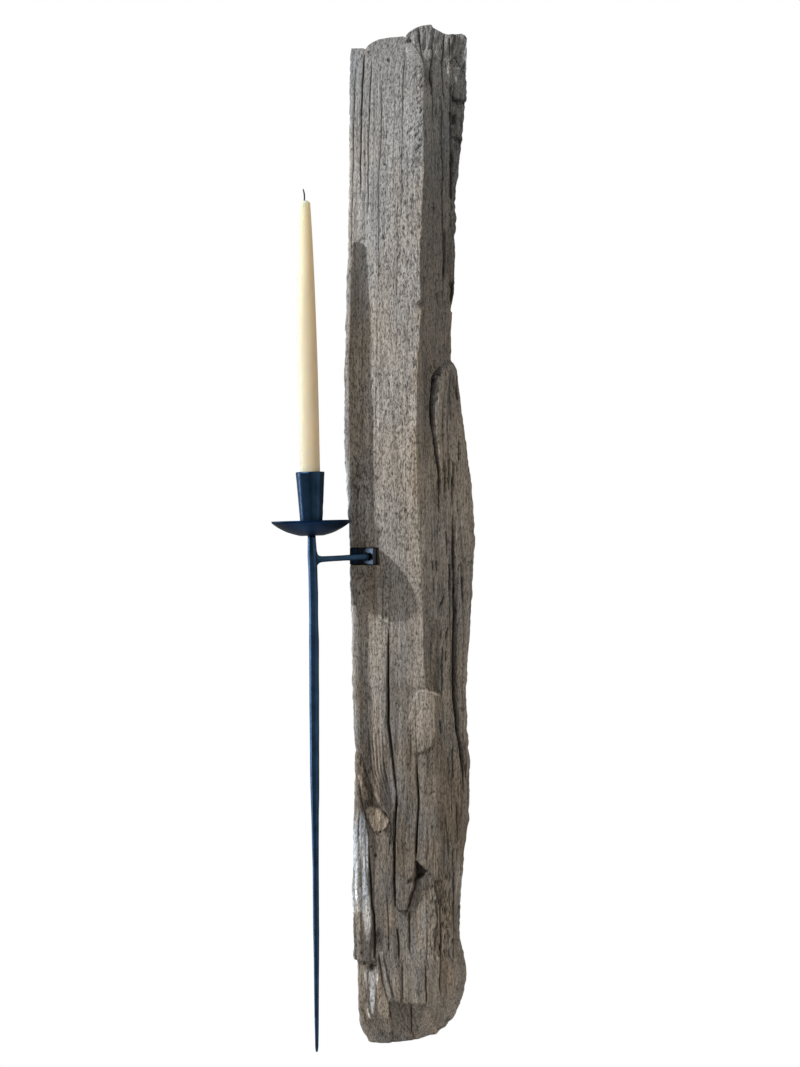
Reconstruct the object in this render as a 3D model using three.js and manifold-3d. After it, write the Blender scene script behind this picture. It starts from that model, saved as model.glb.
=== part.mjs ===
// Wall sconce: a hand-forged iron candle holder on one weathered timber.
//
// Units are millimetres. +Z is up and -Y faces the room. The timber's flat back lies in the plane
// y = 0, and the origin is the middle of that back, on the wall.
import * as THREE from 'three';
import { mergeVertices } from 'three/addons/utils/BufferGeometryUtils.js';
import Module from 'manifold-3d';

const wasm = await Module();
wasm.setup();

const DEGREE = Math.PI / 180;
const GAP = 0.3; // clearance between pieces that touch

// ---- Driving dimensions -------------------------------------------------------------------

// Timber. Each edge is a list of [height, x, y] stations from the top down.
const TIMBER_TOP = 544;
const TIMBER_BOTTOM = -544;
const TIMBER_ROWS = 46;
const SECTION_MIDDLE = new THREE.Vector2(0, -38);
const BACK_INSET = 6; // how far the back is narrower than the widest part, on each side
const LEFT_EDGE = [
  [544, -60, -70], [501, -63.5, -74], [353, -65.6, -76], [247, -68.8, -76], [99, -70.9, -76],
  [57, -68.8, -76], [-28, -64.5, -76], [-134, -61.9, -76], [-261, -58.7, -75], [-324, -60.3, -74],
  [-448, -58.7, -73], [-458, -55, -72], [-494, -54, -70], [-515, -51.8, -68], [-528, -46, -65],
  [-544, -37, -60],
];
const ARRIS = [
  [544, -4, -72], [518, -6, -80], [495, 11.5, -90], [385, 14.2, -92], [293, 10.5, -92],
  [230, 11.3, -92], [156, 6.7, -92], [88, 6.2, -92], [-28, 10.4, -92], [-91, 12.5, -91],
  [-162, 16.2, -90], [-167, 23, -88], [-213, 26, -87], [-330, 22, -86], [-448, 20, -84],
  [-500, 18, -82], [-508, 17, -76], [-544, 5, -66],
];
const RIGHT_EDGE = [
  [544, 64, -42], [488, 62.5, -44], [423, 59.3, -45], [380, 52.8, -45], [359, 51.2, -45],
  [262, 50.2, -45], [230, 45.3, -44], [184, 44.8, -44], [181, 50.2, -46], [143, 55, -48],
  [57, 65.7, -50], [-7, 70.6, -52], [-72, 66.8, -52], [-168, 59.8, -50], [-244, 65.2, -50],
  [-308, 64.1, -50], [-394, 54.5, -48], [-437, 55, -48], [-475, 60.9, -46], [-502, 52.9, -44],
  [-523, 43.2, -42], [-544, 22, -40],
];
// Broken upper end: [x, height] from left to right. Rows above the shoulder are stretched to it.
const TOP_SHOULDER = 480;
const TOP_OUTLINE = [
  [-64, 515], [-49, 514], [-33, 523.5], [-7, 526.5], [-3, 530], [9, 539.5], [21, 544],
  [30.6, 538], [41, 535], [56, 538.5], [67.7, 527],
];
// Heights where the surface steps, with a row of points just above and just below each.
const STEP_HEIGHTS = [182.5, -165, -453, -504];
const STEP_HALF = 1.6;
const HEWN_SWELL = 0.9; // slow swell of the hewn sides, and how far they bulge between edges
const HEWN_BULGE = 0.6;
// Split sliver that stands proud of the right face, and the shallow recess that ends in a ledge.
const SLIVER_TOP = 182;
const SLIVER_FOOT = 20;
const SLIVER_PROUD = 6;
const SLIVER_START = 0.42; // share of the way across the right face
const RECESS_TOP = -70;
const RECESS_BOTTOM = -165;
const RECESS_DEPTH = 4.5;
const RECESS_WIDTH = 0.32; // share of the right face

// Notch and forged bracket. The arm leaves the timber towards the left and the front.
const ARM_YAW = 35 * DEGREE; // how far the arm swings forward from straight left
const ARM_DROP = 2.2 * DEGREE; // how far it falls on the way out
const NOTCH_HEIGHT = 18.6;
const NOTCH_MIDDLE = -24.1;
const STRAP_THICKNESS = 5.7;
const STRAP_WEB_Y = -69.3; // front of the part that lies on the notch's back
const STRAP_LEFT_X = -64;
const LEG_TIP = new THREE.Vector2(-39.5, -83.5); // front end of the leg's face
const LEG_DEPTH = 17.3;
const OUTER_BEND = 5; // how far the strap's bend reaches from its corner, outside and inside
const INNER_BEND = 2.5;
const STRAP_HEIGHT = NOTCH_HEIGHT - 2 * GAP;
const BRACKET_SCREW_X = -58.3;
const BRACKET_SCREW_OFFSET = 4.9; // above and below the strap's middle line

// Arm, measured along its own length from the leg's face.
const ARM_WIDTH = 5.9;
const ARM_HEIGHT_AT_COLLAR = 5.3;
const ARM_HEIGHT_AT_SPIKE = 6.4;
const ARM_LENGTH = 69.7; // leg face to spike axis
const ARM_FILLET = 3.6;
const ARM_HEEL = 2.2; // thickness of the foot that is welded to the spike
const COLLAR_RADIUS = 4.3;
const COLLAR_LENGTH = 3.6;
const TENON_RADIUS = 2.5;
const ARM_CHAMFER = 0.9;
const STRAP_CHAMFER = 0.6;

// Spike: [height, width across its flats, x of its middle], top to tip.
const SPIKE_STATIONS = [
  [-2.9, 9.2, -102.3], [-20, 9.5, -101.7], [-36, 8.8, -101.2], [-61, 9.4, -100.6],
  [-86, 8.9, -100.3], [-111, 10, -100], [-150, 9.8, -99.8], [-173, 10, -99.7],
  [-215, 9.4, -99.5], [-246, 9.4, -99.3], [-273, 8.7, -99], [-298, 7.5, -98.8],
  [-325, 6.9, -98.5], [-348, 6.3, -98.2], [-410, 6.2, -97.8], [-440, 5.5, -97.5],
  [-473, 4.9, -97.4], [-498, 4.5, -97.3], [-522, 3.8, -97.1], [-535, 3.3, -97.1],
  [-539, 2, -97.1],
];
const SPIKE_HALF_AT_ARM = 4.75; // widest half width where the arm meets it
const SPIKE_TENON_RADIUS = 3.5;
const SPIKE_TENON_FOOT = -6; // how far it starts below the pan's underside
const RIVET_RADIUS = 5;
const RIVET_HEIGHT = 2.5;

// Head: pan, cup and candle lean together a little to the left.
const SEAT = new THREE.Vector3(-102.4, -116.4, -2.4); // middle of the pan's underside
const HEAD_LEAN = -1.5 * DEGREE;
const PAN_RADIUS = 41.7;
const PAN_THICKNESS = 1.8;
const PAN_FLAT_RADIUS = 11.5;
const PAN_SPHERE_RADIUS = 68;
const PAN_ROUNDING = 0.6;
const CUP_RIM = 66.4; // height above the pan's underside
const CUP_TOP_RADIUS = 14.8;
const CUP_BOTTOM_RADIUS = 10.6;
const BORE_TOP_RADIUS = 12.8;
const BORE_TAPER = 0.0864; // radius lost per millimetre of depth
const CUP_FLOOR = 5;
const CUP_FACETS = 8;
const CUP_FACET_DEPTH = 0.018; // share of the radius

// Candle, leaning a little less than the cup that it stands in.
const CANDLE_BASE = new THREE.Vector3(-103.6, -116.4, 41.8);
const CANDLE_LEAN = -1.2 * DEGREE;
const CANDLE_LENGTH = 305;
const CANDLE_SHOULDER = 301;
const CANDLE_BASE_RADIUS = 10.4;
const CANDLE_TOP_RADIUS = 6;
const CANDLE_TAPER_POWER = 3.1;
const WICK_RADIUS = 0.9;
const WICK_SOCKET = 6;

// Keyhole hanger plates, let into the back.
const HANGER_HEIGHTS = { upper: 330, lower: -330 };
const PLATE_HEIGHT = 50;
const PLATE_WIDTH = 18;
const PLATE_THICKNESS = 2;
const PLATE_INSET = 0.2;
const KEYHOLE_RADIUS = 4.75;
const KEYHOLE_SLOT_WIDTH = 4.8;
const KEYHOLE_SLOT_LENGTH = 12;
const HANGER_SCREW_OFFSET = 19.5;
const POCKET_WIDTH = 12;
const POCKET_HEIGHT = 25;
const POCKET_DEPTH = 10;

// ---- Materials ------------------------------------------------------------------------------

const finishes = {
  timber: { color: 0x8c8478, roughness: 0.9, metalness: 0 },
  iron: { color: 0x1c2531, roughness: 0.55, metalness: 0.8 },
  wax: { color: 0xebdfb9, roughness: 0.45, metalness: 0 },
  wick: { color: 0x17181c, roughness: 0.95, metalness: 0 },
  zinc: { color: 0x9ea2a5, roughness: 0.4, metalness: 1 },
};

function named(name, geometry, finish) {
  const mesh = new THREE.Mesh(geometry, new THREE.MeshStandardMaterial(finishes[finish]));
  mesh.name = name;
  return mesh;
}

// ---- Solids ---------------------------------------------------------------------------------

// A closed three.js geometry as a manifold solid.
function solidOf(geometry) {
  const bare = geometry.clone();
  bare.deleteAttribute('normal');
  bare.deleteAttribute('uv');
  const merged = mergeVertices(bare, 1e-4);
  const corners = [];
  const index = merged.index.array;
  for (let i = 0; i < index.length; i += 3) {
    const [a, b, c] = index.slice(i, i + 3);
    if (a !== b && b !== c && c !== a) corners.push(a, b, c);
  }
  return new wasm.Manifold(new wasm.Mesh({
    numProp: 3,
    vertProperties: merged.attributes.position.array,
    triVerts: Uint32Array.from(corners),
  }));
}

function geometryOf(solid) {
  const mesh = solid.getMesh();
  const geometry = new THREE.BufferGeometry();
  geometry.setAttribute('position', new THREE.BufferAttribute(mesh.vertProperties, 3));
  geometry.setIndex(new THREE.BufferAttribute(mesh.triVerts, 1));
  geometry.computeVertexNormals();
  return geometry;
}

function cut(geometry, ...tools) {
  return geometryOf(tools.reduce((solid, tool) => solid.subtract(solidOf(tool)), solidOf(geometry)));
}

function join(...geometries) {
  return geometryOf(geometries.map(solidOf).reduce((whole, piece) => whole.add(piece)));
}

// A turned shape about +Z. The profile holds [radius, height] pairs.
function turned(profile, segments) {
  const points = profile.map(([radius, height]) => new THREE.Vector2(radius, height));
  return new THREE.LatheGeometry(points, segments).rotateX(Math.PI / 2);
}

// A round bar along +Z from the height `from` to the height `to`.
function bar(radius, from, to, segments) {
  return turned([[0, from], [radius, from], [radius, to], [0, to]], segments);
}

// Linear interpolation in a list of stations whose first column falls from top to bottom.
function stationAt(stations, height) {
  const next = stations.findIndex((station) => station[0] <= height);
  if (next === 0) return stations[0].slice(1);
  if (next === -1) return stations[stations.length - 1].slice(1);
  const above = stations[next - 1];
  const below = stations[next];
  const share = (above[0] - height) / (above[0] - below[0]);
  return above.slice(1).map((value, i) => THREE.MathUtils.lerp(value, below[i + 1], share));
}

// ---- Timber ---------------------------------------------------------------------------------

// Corners of the timber's section at one height, with the number of points along each side.
function timberSides(height) {
  const left = new THREE.Vector2(...stationAt(LEFT_EDGE, height));
  const arris = new THREE.Vector2(...stationAt(ARRIS, height));
  const right = new THREE.Vector2(...stationAt(RIGHT_EDGE, height));
  const backRight = new THREE.Vector2(right.x - BACK_INSET, 0);
  const backLeft = new THREE.Vector2(left.x + BACK_INSET, 0);
  return [
    { from: backLeft, to: left, count: 5, face: 'left' },
    { from: left, to: arris, count: 10, face: 'front' },
    { from: arris, to: right, count: 9, face: 'right' },
    { from: right, to: backRight, count: 5, face: 'side' },
    { from: backRight, to: backLeft, count: 6, face: 'back' },
  ];
}

// How far a point of the timber's surface stands proud of its flat side.
function timberRelief(face, share, height) {
  if (face === 'back') return 0;
  const hewn = Math.sin(Math.PI * share) * (Math.sin(height / 37 + share * 5) * HEWN_SWELL + HEWN_BULGE);
  if (face !== 'right') return hewn;
  const inSliver = share > SLIVER_START && height < SLIVER_TOP && height > SLIVER_FOOT;
  if (inSliver) {
    return hewn + SLIVER_PROUD * (height - SLIVER_FOOT) / (SLIVER_TOP - SLIVER_FOOT);
  }
  const inRecess = share > 0 && share < RECESS_WIDTH && height < RECESS_TOP && height > RECESS_BOTTOM;
  if (inRecess) return hewn - RECESS_DEPTH * (RECESS_TOP - height) / (RECESS_TOP - RECESS_BOTTOM);
  return hewn;
}

function timberPoint(turn, height) {
  const sides = timberSides(height);
  let index = turn;
  let side = sides[0];
  for (side of sides) {
    if (index < side.count) break;
    index -= side.count;
  }
  const share = index / side.count;
  const along = side.to.clone().sub(side.from);
  const outward = new THREE.Vector2(along.y, -along.x).normalize();
  const point = side.from.clone().lerp(side.to, share);
  return point.addScaledVector(outward, timberRelief(side.face, share, height));
}

function topHeight(x) {
  const next = Math.max(1, TOP_OUTLINE.findIndex((corner) => corner[0] >= x));
  const [leftX, leftHeight] = TOP_OUTLINE[next - 1];
  const [rightX, rightHeight] = TOP_OUTLINE[next];
  const share = THREE.MathUtils.clamp((x - leftX) / (rightX - leftX), 0, 1);
  return THREE.MathUtils.lerp(leftHeight, rightHeight, share);
}

// Row heights: even steps, with a close pair in place of any row next to a step in the surface.
function timberHeights() {
  const heights = STEP_HEIGHTS.flatMap((step) => [step - STEP_HALF, step + STEP_HALF]);
  const spacing = (TIMBER_TOP - TIMBER_BOTTOM) / TIMBER_ROWS;
  for (let row = 0; row <= TIMBER_ROWS; row += 1) {
    const height = TIMBER_BOTTOM + row * spacing;
    const isClear = STEP_HEIGHTS.every((step) => Math.abs(step - height) > spacing / 3);
    if (isClear) heights.push(height);
  }
  return heights.sort((a, b) => b - a);
}

// A cylinder whose rings are moved onto the timber's sections.
function rawTimber() {
  const heights = timberHeights();
  const around = timberSides(0).reduce((sum, side) => sum + side.count, 0);
  const geometry = new THREE.CylinderGeometry(1, 1, 1, around, heights.length - 1);
  const position = geometry.attributes.position;
  const vertex = new THREE.Vector3();
  for (let i = 0; i < position.count; i += 1) {
    vertex.fromBufferAttribute(position, i);
    const level = heights[Math.round((0.5 - vertex.y) * (heights.length - 1))];
    const isMiddle = Math.hypot(vertex.x, vertex.z) < 0.5;
    const circle = Math.atan2(-vertex.z, vertex.x) / (2 * Math.PI);
    const turn = Math.round(circle * around + around) % around;
    const point = isMiddle ? SECTION_MIDDLE : timberPoint(turn, level);
    const isInEnd = level > TOP_SHOULDER;
    const stretch = (topHeight(point.x) - TOP_SHOULDER) / (TIMBER_TOP - TOP_SHOULDER);
    const height = isInEnd ? TOP_SHOULDER + (level - TOP_SHOULDER) * stretch : level;
    position.setXYZ(i, point.x, point.y, height);
  }
  return geometry;
}

// ---- Bracket --------------------------------------------------------------------------------

const outwardOfLeg = new THREE.Vector2(-Math.cos(ARM_YAW), -Math.sin(ARM_YAW));
const forwardOfLeg = new THREE.Vector2(Math.sin(ARM_YAW), -Math.cos(ARM_YAW));
const legRoot = LEG_TIP.clone().addScaledVector(forwardOfLeg, -LEG_DEPTH);
const legMiddle = LEG_TIP.clone().addScaledVector(forwardOfLeg, -LEG_DEPTH / 2);

// Where the plan line that lies `distance` behind the leg's face crosses the depth y.
function behindLeg(distance, y) {
  const start = LEG_TIP.clone().addScaledVector(outwardOfLeg, -distance);
  return start.addScaledVector(forwardOfLeg, (y - start.y) / forwardOfLeg.y);
}

// Places something built along +X onto the arm's line, which starts at the leg's face.
function onArm(mesh) {
  const holder = new THREE.Group();
  holder.position.set(legMiddle.x, legMiddle.y, NOTCH_MIDDLE);
  holder.rotation.z = Math.PI + ARM_YAW;
  mesh.rotation.y = ARM_DROP;
  holder.add(mesh);
  return holder;
}

// The matrix of onArm, for tools that cut the strap where the arm passes through it.
function armMatrix() {
  const marker = new THREE.Object3D();
  const holder = onArm(marker);
  holder.updateMatrixWorld(true);
  return marker.matrixWorld;
}

// A round bar along the arm's line.
function alongArm(radius, from, to, segments) {
  return bar(radius, from, to, segments).rotateY(Math.PI / 2);
}

function strapOutline() {
  const back = STRAP_WEB_Y + STRAP_THICKNESS;
  const heel = behindLeg(STRAP_THICKNESS, back);
  const tipBack = LEG_TIP.clone().addScaledVector(outwardOfLeg, -STRAP_THICKNESS);
  const bendStart = new THREE.Vector2(heel.x - OUTER_BEND, back);
  const bendEnd = heel.clone().addScaledVector(forwardOfLeg, OUTER_BEND);
  const innerStart = legRoot.clone().addScaledVector(forwardOfLeg, INNER_BEND);
  const outline = new THREE.Shape();
  outline.moveTo(STRAP_LEFT_X, back);
  outline.lineTo(STRAP_LEFT_X, STRAP_WEB_Y);
  outline.lineTo(legRoot.x - INNER_BEND, STRAP_WEB_Y);
  outline.quadraticCurveTo(legRoot.x, STRAP_WEB_Y, innerStart.x, innerStart.y);
  outline.lineTo(LEG_TIP.x, LEG_TIP.y);
  outline.lineTo(tipBack.x, tipBack.y);
  outline.lineTo(bendEnd.x, bendEnd.y);
  outline.quadraticCurveTo(heel.x, heel.y, bendStart.x, bendStart.y);
  outline.closePath();
  return outline;
}

// A countersunk screw pointing along -Z, with the top of its head at the origin.
function screw({ headRadius, shankRadius, length, slotDepth }) {
  const headDepth = headRadius - shankRadius;
  const body = turned([
    [0, -length], [shankRadius * 0.35, -length + 0.6], [shankRadius, -length + 5],
    [shankRadius, -headDepth], [headRadius, -0.4], [headRadius, 0], [0, 0],
  ], 24);
  const slot = new THREE.BoxGeometry(headRadius * 3, 1, 2 * slotDepth);
  return cut(body, slot);
}

// The hole that such a screw passes through.
function screwHole({ headRadius, shankRadius, length }) {
  const headDepth = headRadius - shankRadius;
  return turned([
    [0, -length - GAP], [shankRadius + GAP, -length - GAP], [shankRadius + GAP, -headDepth - GAP],
    [headRadius + GAP, -0.4], [headRadius + GAP, 3], [0, 3],
  ], 24);
}

const bracketScrew = { headRadius: 3.3, shankRadius: 1.8, length: 26, slotDepth: 1 };
const hangerScrew = { headRadius: 3.2, shankRadius: 1.7, length: 16, slotDepth: 0.9 };

// Bracket screws point into the timber, along +Y.
function bracketScrewPlaces() {
  return {
    bracket_screw_upper: NOTCH_MIDDLE + BRACKET_SCREW_OFFSET,
    bracket_screw_lower: NOTCH_MIDDLE - BRACKET_SCREW_OFFSET,
  };
}

function towardsBack(geometry, x, y, z) {
  return geometry.rotateX(Math.PI / 2).translate(x, y, z);
}

function bracketStrap() {
  const chamfer = STRAP_CHAMFER;
  const body = new THREE.ExtrudeGeometry(strapOutline(), {
    depth: STRAP_HEIGHT - 2 * chamfer,
    curveSegments: 6,
    bevelThickness: chamfer,
    bevelSize: chamfer,
    bevelOffset: -chamfer,
    bevelSegments: 1,
  });
  body.translate(0, 0, NOTCH_MIDDLE - STRAP_HEIGHT / 2 + chamfer);
  const tenonHole = alongArm(TENON_RADIUS + GAP, -STRAP_THICKNESS - 3, 3, 20);
  tenonHole.applyMatrix4(armMatrix());
  const holes = Object.values(bracketScrewPlaces()).map(
    (z) => towardsBack(screwHole(bracketScrew), BRACKET_SCREW_X, STRAP_WEB_Y, z),
  );
  return named('bracket_strap', cut(body, tenonHole, ...holes), 'iron');
}

// The space that the notch leaves open, in plan, to the left and the front.
function notchTool() {
  const back = STRAP_WEB_Y + STRAP_THICKNESS + GAP;
  const corner = behindLeg(STRAP_THICKNESS + GAP, back);
  const front = behindLeg(STRAP_THICKNESS + GAP, -130);
  const plan = new THREE.Shape([
    new THREE.Vector2(-130, back),
    new THREE.Vector2(-130, -130),
    front,
    corner,
  ]);
  const tool = new THREE.ExtrudeGeometry(plan, { depth: NOTCH_HEIGHT, bevelEnabled: false });
  return tool.translate(0, 0, NOTCH_MIDDLE - NOTCH_HEIGHT / 2);
}

// ---- Arm and spike --------------------------------------------------------------------------

// Side view of the arm: x along it from the collar to the spike, y up.
function armOutline() {
  const startHalf = ARM_HEIGHT_AT_COLLAR / 2;
  const half = ARM_HEIGHT_AT_SPIKE / 2;
  const end = ARM_LENGTH - SPIKE_HALF_AT_ARM - GAP; // stops at the spike's flat
  const start = COLLAR_LENGTH / 2;
  const outline = new THREE.Shape();
  const heel = end - ARM_HEEL;
  const reach = half + ARM_FILLET;
  outline.moveTo(start, -startHalf);
  outline.lineTo(heel - ARM_FILLET, -half);
  outline.quadraticCurveTo(heel, -half, heel, -reach);
  outline.lineTo(end, -reach);
  outline.lineTo(end, reach);
  outline.lineTo(heel, reach);
  outline.quadraticCurveTo(heel, half, heel - ARM_FILLET, half);
  outline.lineTo(start, startHalf);
  outline.closePath();
  return outline;
}

function sideArm() {
  const chamfer = ARM_CHAMFER;
  const body = new THREE.ExtrudeGeometry(armOutline(), {
    depth: ARM_WIDTH - 2 * chamfer,
    curveSegments: 6,
    bevelThickness: chamfer,
    bevelSize: chamfer,
    bevelOffset: -chamfer,
    bevelSegments: 1,
  });
  body.translate(0, 0, -ARM_WIDTH / 2 + chamfer).rotateX(Math.PI / 2);
  const collar = turned([
    [0, GAP], [COLLAR_RADIUS - 0.8, GAP], [COLLAR_RADIUS, GAP + 0.9],
    [COLLAR_RADIUS, COLLAR_LENGTH - 1], [COLLAR_RADIUS - 1.2, COLLAR_LENGTH + 0.6],
    [0, COLLAR_LENGTH + 0.6],
  ], 24).rotateY(Math.PI / 2);
  const tenon = alongArm(TENON_RADIUS, GAP - STRAP_THICKNESS, COLLAR_LENGTH, 20);
  return onArm(named('side_arm', join(body, collar, tenon), 'iron'));
}

// The octagonal forged bar, its rings moved onto the stations.
function spikeBar() {
  const rows = SPIKE_STATIONS.length - 1;
  const geometry = new THREE.CylinderGeometry(1, 1, 1, 8, rows);
  const position = geometry.attributes.position;
  const acrossFlats = 1 / Math.cos(Math.PI / 8) / 2;
  for (let i = 0; i < position.count; i += 1) {
    const row = Math.round((0.5 - position.getY(i)) * rows);
    const [height, width, x] = SPIKE_STATIONS[row];
    const radius = width * acrossFlats;
    const corner = new THREE.Vector2(position.getX(i), -position.getZ(i)).multiplyScalar(radius);
    corner.rotateAround(new THREE.Vector2(), ARM_YAW + Math.PI / 8);
    position.setXYZ(i, x + corner.x, SEAT.y + corner.y, height);
  }
  return geometry;
}

// Head frame: things built on the pan's underside, leaning with the head.
function leanMatrix(origin, lean) {
  const place = new THREE.Matrix4().makeTranslation(origin);
  return place.multiply(new THREE.Matrix4().makeRotationY(lean));
}

function stemSpike() {
  const floorTop = PAN_THICKNESS + GAP + CUP_FLOOR + GAP;
  const tenon = turned([
    [0, SPIKE_TENON_FOOT], [SPIKE_TENON_RADIUS, SPIKE_TENON_FOOT], [SPIKE_TENON_RADIUS, floorTop],
    [RIVET_RADIUS, floorTop], [RIVET_RADIUS * 0.92, floorTop + RIVET_HEIGHT * 0.5],
    [RIVET_RADIUS * 0.56, floorTop + RIVET_HEIGHT * 0.88], [0, floorTop + RIVET_HEIGHT],
  ], 28).applyMatrix4(leanMatrix(SEAT, HEAD_LEAN));
  return named('stem_spike', join(spikeBar(), tenon), 'iron');
}

// ---- Pan, cup and candle --------------------------------------------------------------------

// Height of the dish's surface above its flat middle.
function dishHeight(radius) {
  const drop = (r) => Math.sqrt(PAN_SPHERE_RADIUS ** 2 - r ** 2);
  return radius < PAN_FLAT_RADIUS ? 0 : drop(PAN_FLAT_RADIUS) - drop(radius);
}

function dripPan() {
  const hole = SPIKE_TENON_RADIUS + GAP;
  const steps = 7;
  const radii = Array.from(
    { length: steps + 1 },
    (_, i) => THREE.MathUtils.lerp(PAN_FLAT_RADIUS, PAN_RADIUS - PAN_ROUNDING, i / steps),
  );
  const outer = radii.map((r) => [r, dishHeight(r)]);
  const rim = [PAN_RADIUS, dishHeight(PAN_RADIUS) + PAN_THICKNESS / 2];
  const inner = radii.map((r) => [r - 0.4, dishHeight(r) + PAN_THICKNESS]).reverse();
  const profile = [[hole, 0], ...outer, rim, ...inner, [hole, PAN_THICKNESS], [hole, 0]];
  return named('drip_pan', turned(profile, 40), 'iron');
}

// Hammered cup: a turned shape whose outside is beaten into soft facets.
function candleCup() {
  const bottom = PAN_THICKNESS + GAP;
  const hole = SPIKE_TENON_RADIUS + GAP;
  const boreDepth = CUP_RIM - bottom - CUP_FLOOR;
  const boreBottomRadius = BORE_TOP_RADIUS - BORE_TAPER * boreDepth;
  const geometry = turned([
    [hole, bottom], [CUP_BOTTOM_RADIUS - 0.8, bottom], [CUP_BOTTOM_RADIUS, bottom + 0.8],
    [CUP_TOP_RADIUS - 0.1, CUP_RIM - 1], [CUP_TOP_RADIUS - 0.8, CUP_RIM],
    [BORE_TOP_RADIUS, CUP_RIM], [boreBottomRadius, bottom + CUP_FLOOR],
    [hole, bottom + CUP_FLOOR], [hole, bottom],
  ], CUP_FACETS * 5);
  const position = geometry.attributes.position;
  for (let i = 0; i < position.count; i += 1) {
    const x = position.getX(i);
    const y = position.getY(i);
    const z = position.getZ(i);
    const radius = Math.hypot(x, y);
    const wallMiddle = BORE_TOP_RADIUS - BORE_TAPER * (CUP_RIM - z) + 0.9;
    if (radius < wallMiddle) continue;
    const facet = Math.cos(CUP_FACETS * Math.atan2(y, x));
    const beaten = 1 + CUP_FACET_DEPTH * facet;
    position.setXYZ(i, x * beaten, y * beaten, z);
  }
  return named('candle_cup', geometry, 'iron');
}

function candleWax() {
  const steps = 14;
  const side = Array.from({ length: steps + 1 }, (_, i) => {
    const height = CANDLE_SHOULDER * Math.sqrt(i / steps);
    const taper = (height / CANDLE_SHOULDER) ** CANDLE_TAPER_POWER;
    return [CANDLE_BASE_RADIUS - (CANDLE_BASE_RADIUS - CANDLE_TOP_RADIUS) * taper, height];
  });
  side[0][0] -= 0.3;
  const socket = WICK_RADIUS + GAP;
  const profile = [
    [0, 0], ...side, [CANDLE_TOP_RADIUS * 0.6, CANDLE_LENGTH - 1.4], [socket + 0.4, CANDLE_LENGTH],
    [socket, CANDLE_LENGTH], [socket, CANDLE_LENGTH - WICK_SOCKET],
    [0, CANDLE_LENGTH - WICK_SOCKET],
  ];
  return named('candle_wax', turned(profile, 36), 'wax');
}

// The wick rises out of its socket and curls forward.
function candleWick() {
  const foot = CANDLE_LENGTH - WICK_SOCKET + GAP;
  const path = new THREE.CatmullRomCurve3([
    new THREE.Vector3(0, 0, foot),
    new THREE.Vector3(0, 0, CANDLE_LENGTH - 2),
    new THREE.Vector3(0, 0, CANDLE_LENGTH + 1),
    new THREE.Vector3(0.1, -0.8, CANDLE_LENGTH + 4),
    new THREE.Vector3(-0.2, -3.6, CANDLE_LENGTH + 7.6),
    new THREE.Vector3(-0.9, -8, CANDLE_LENGTH + 10),
  ]);
  const section = new THREE.Shape();
  section.absarc(0, 0, WICK_RADIUS, 0, 2 * Math.PI);
  const geometry = new THREE.ExtrudeGeometry(section, {
    steps: 14,
    curveSegments: 4,
    extrudePath: path,
  });
  return named('candle_wick', geometry, 'wick');
}

// ---- Hangers --------------------------------------------------------------------------------

// Keyhole: a round entry with a narrow slot above it, cut right through along Y.
function keyholeTool(widen) {
  const radius = KEYHOLE_RADIUS + widen;
  const half = KEYHOLE_SLOT_WIDTH / 2 + widen;
  const top = KEYHOLE_SLOT_LENGTH - half;
  const shoulder = Math.asin(half / radius);
  const outline = new THREE.Shape();
  outline.absarc(0, 0, radius, Math.PI / 2 + shoulder, Math.PI / 2 - shoulder + 2 * Math.PI);
  outline.lineTo(half, top);
  outline.absarc(0, top, half, 0, Math.PI);
  outline.closePath();
  const depth = 3 * PLATE_THICKNESS;
  const tool = new THREE.ExtrudeGeometry(outline, { depth, bevelEnabled: false, curveSegments: 14 });
  return tool.rotateX(Math.PI / 2).translate(0, depth / 2, -3);
}

function plateOutline(grow) {
  const half = PLATE_WIDTH / 2 + grow;
  const straight = PLATE_HEIGHT / 2 - PLATE_WIDTH / 2;
  const outline = new THREE.Shape();
  outline.absarc(0, straight, half, 0, Math.PI);
  outline.absarc(0, -straight, half, Math.PI, 2 * Math.PI);
  outline.closePath();
  return outline;
}

// A plate-shaped slab whose outer face lies at y = 0 and whose thickness runs into the timber.
function plateSlab(grow, thickness) {
  const options = { depth: thickness, bevelEnabled: false, curveSegments: 10 };
  return new THREE.ExtrudeGeometry(plateOutline(grow), options).rotateX(Math.PI / 2);
}

// Hanger screws point into the timber, along -Y, from the plate's outer face.
function towardsFront(geometry, z) {
  return geometry.rotateX(-Math.PI / 2).translate(0, -PLATE_INSET, z);
}

function hangerPlate(place, height) {
  const plate = plateSlab(0, PLATE_THICKNESS).translate(0, -PLATE_INSET, height);
  const holes = [1, -1].map(
    (sign) => towardsFront(screwHole(hangerScrew), height + sign * HANGER_SCREW_OFFSET),
  );
  const keyhole = keyholeTool(0).translate(0, -PLATE_INSET, height);
  return named(`hanger_plate_${place}`, cut(plate, keyhole, ...holes), 'zinc');
}

function hangerScrews(place, height) {
  return [['top', 1], ['bottom', -1]].map(([end, sign]) => {
    const geometry = towardsFront(screw(hangerScrew), height + sign * HANGER_SCREW_OFFSET);
    return named(`hanger_screw_${place}_${end}`, geometry, 'zinc');
  });
}

// Everything the timber is cut for at one hanger: the plate's bed, the pocket and the pilots.
function hangerTools(height) {
  const bed = plateSlab(GAP, PLATE_THICKNESS + PLATE_INSET + GAP + 2).translate(0, 2, height);
  const pocket = new THREE.BoxGeometry(POCKET_WIDTH, 2 * POCKET_DEPTH, POCKET_HEIGHT);
  pocket.translate(0, 0, height);
  const pilots = [1, -1].map(
    (sign) => towardsFront(screwHole(hangerScrew), height + sign * HANGER_SCREW_OFFSET),
  );
  return [bed, pocket, ...pilots];
}

// ---- Assembly -------------------------------------------------------------------------------

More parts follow.
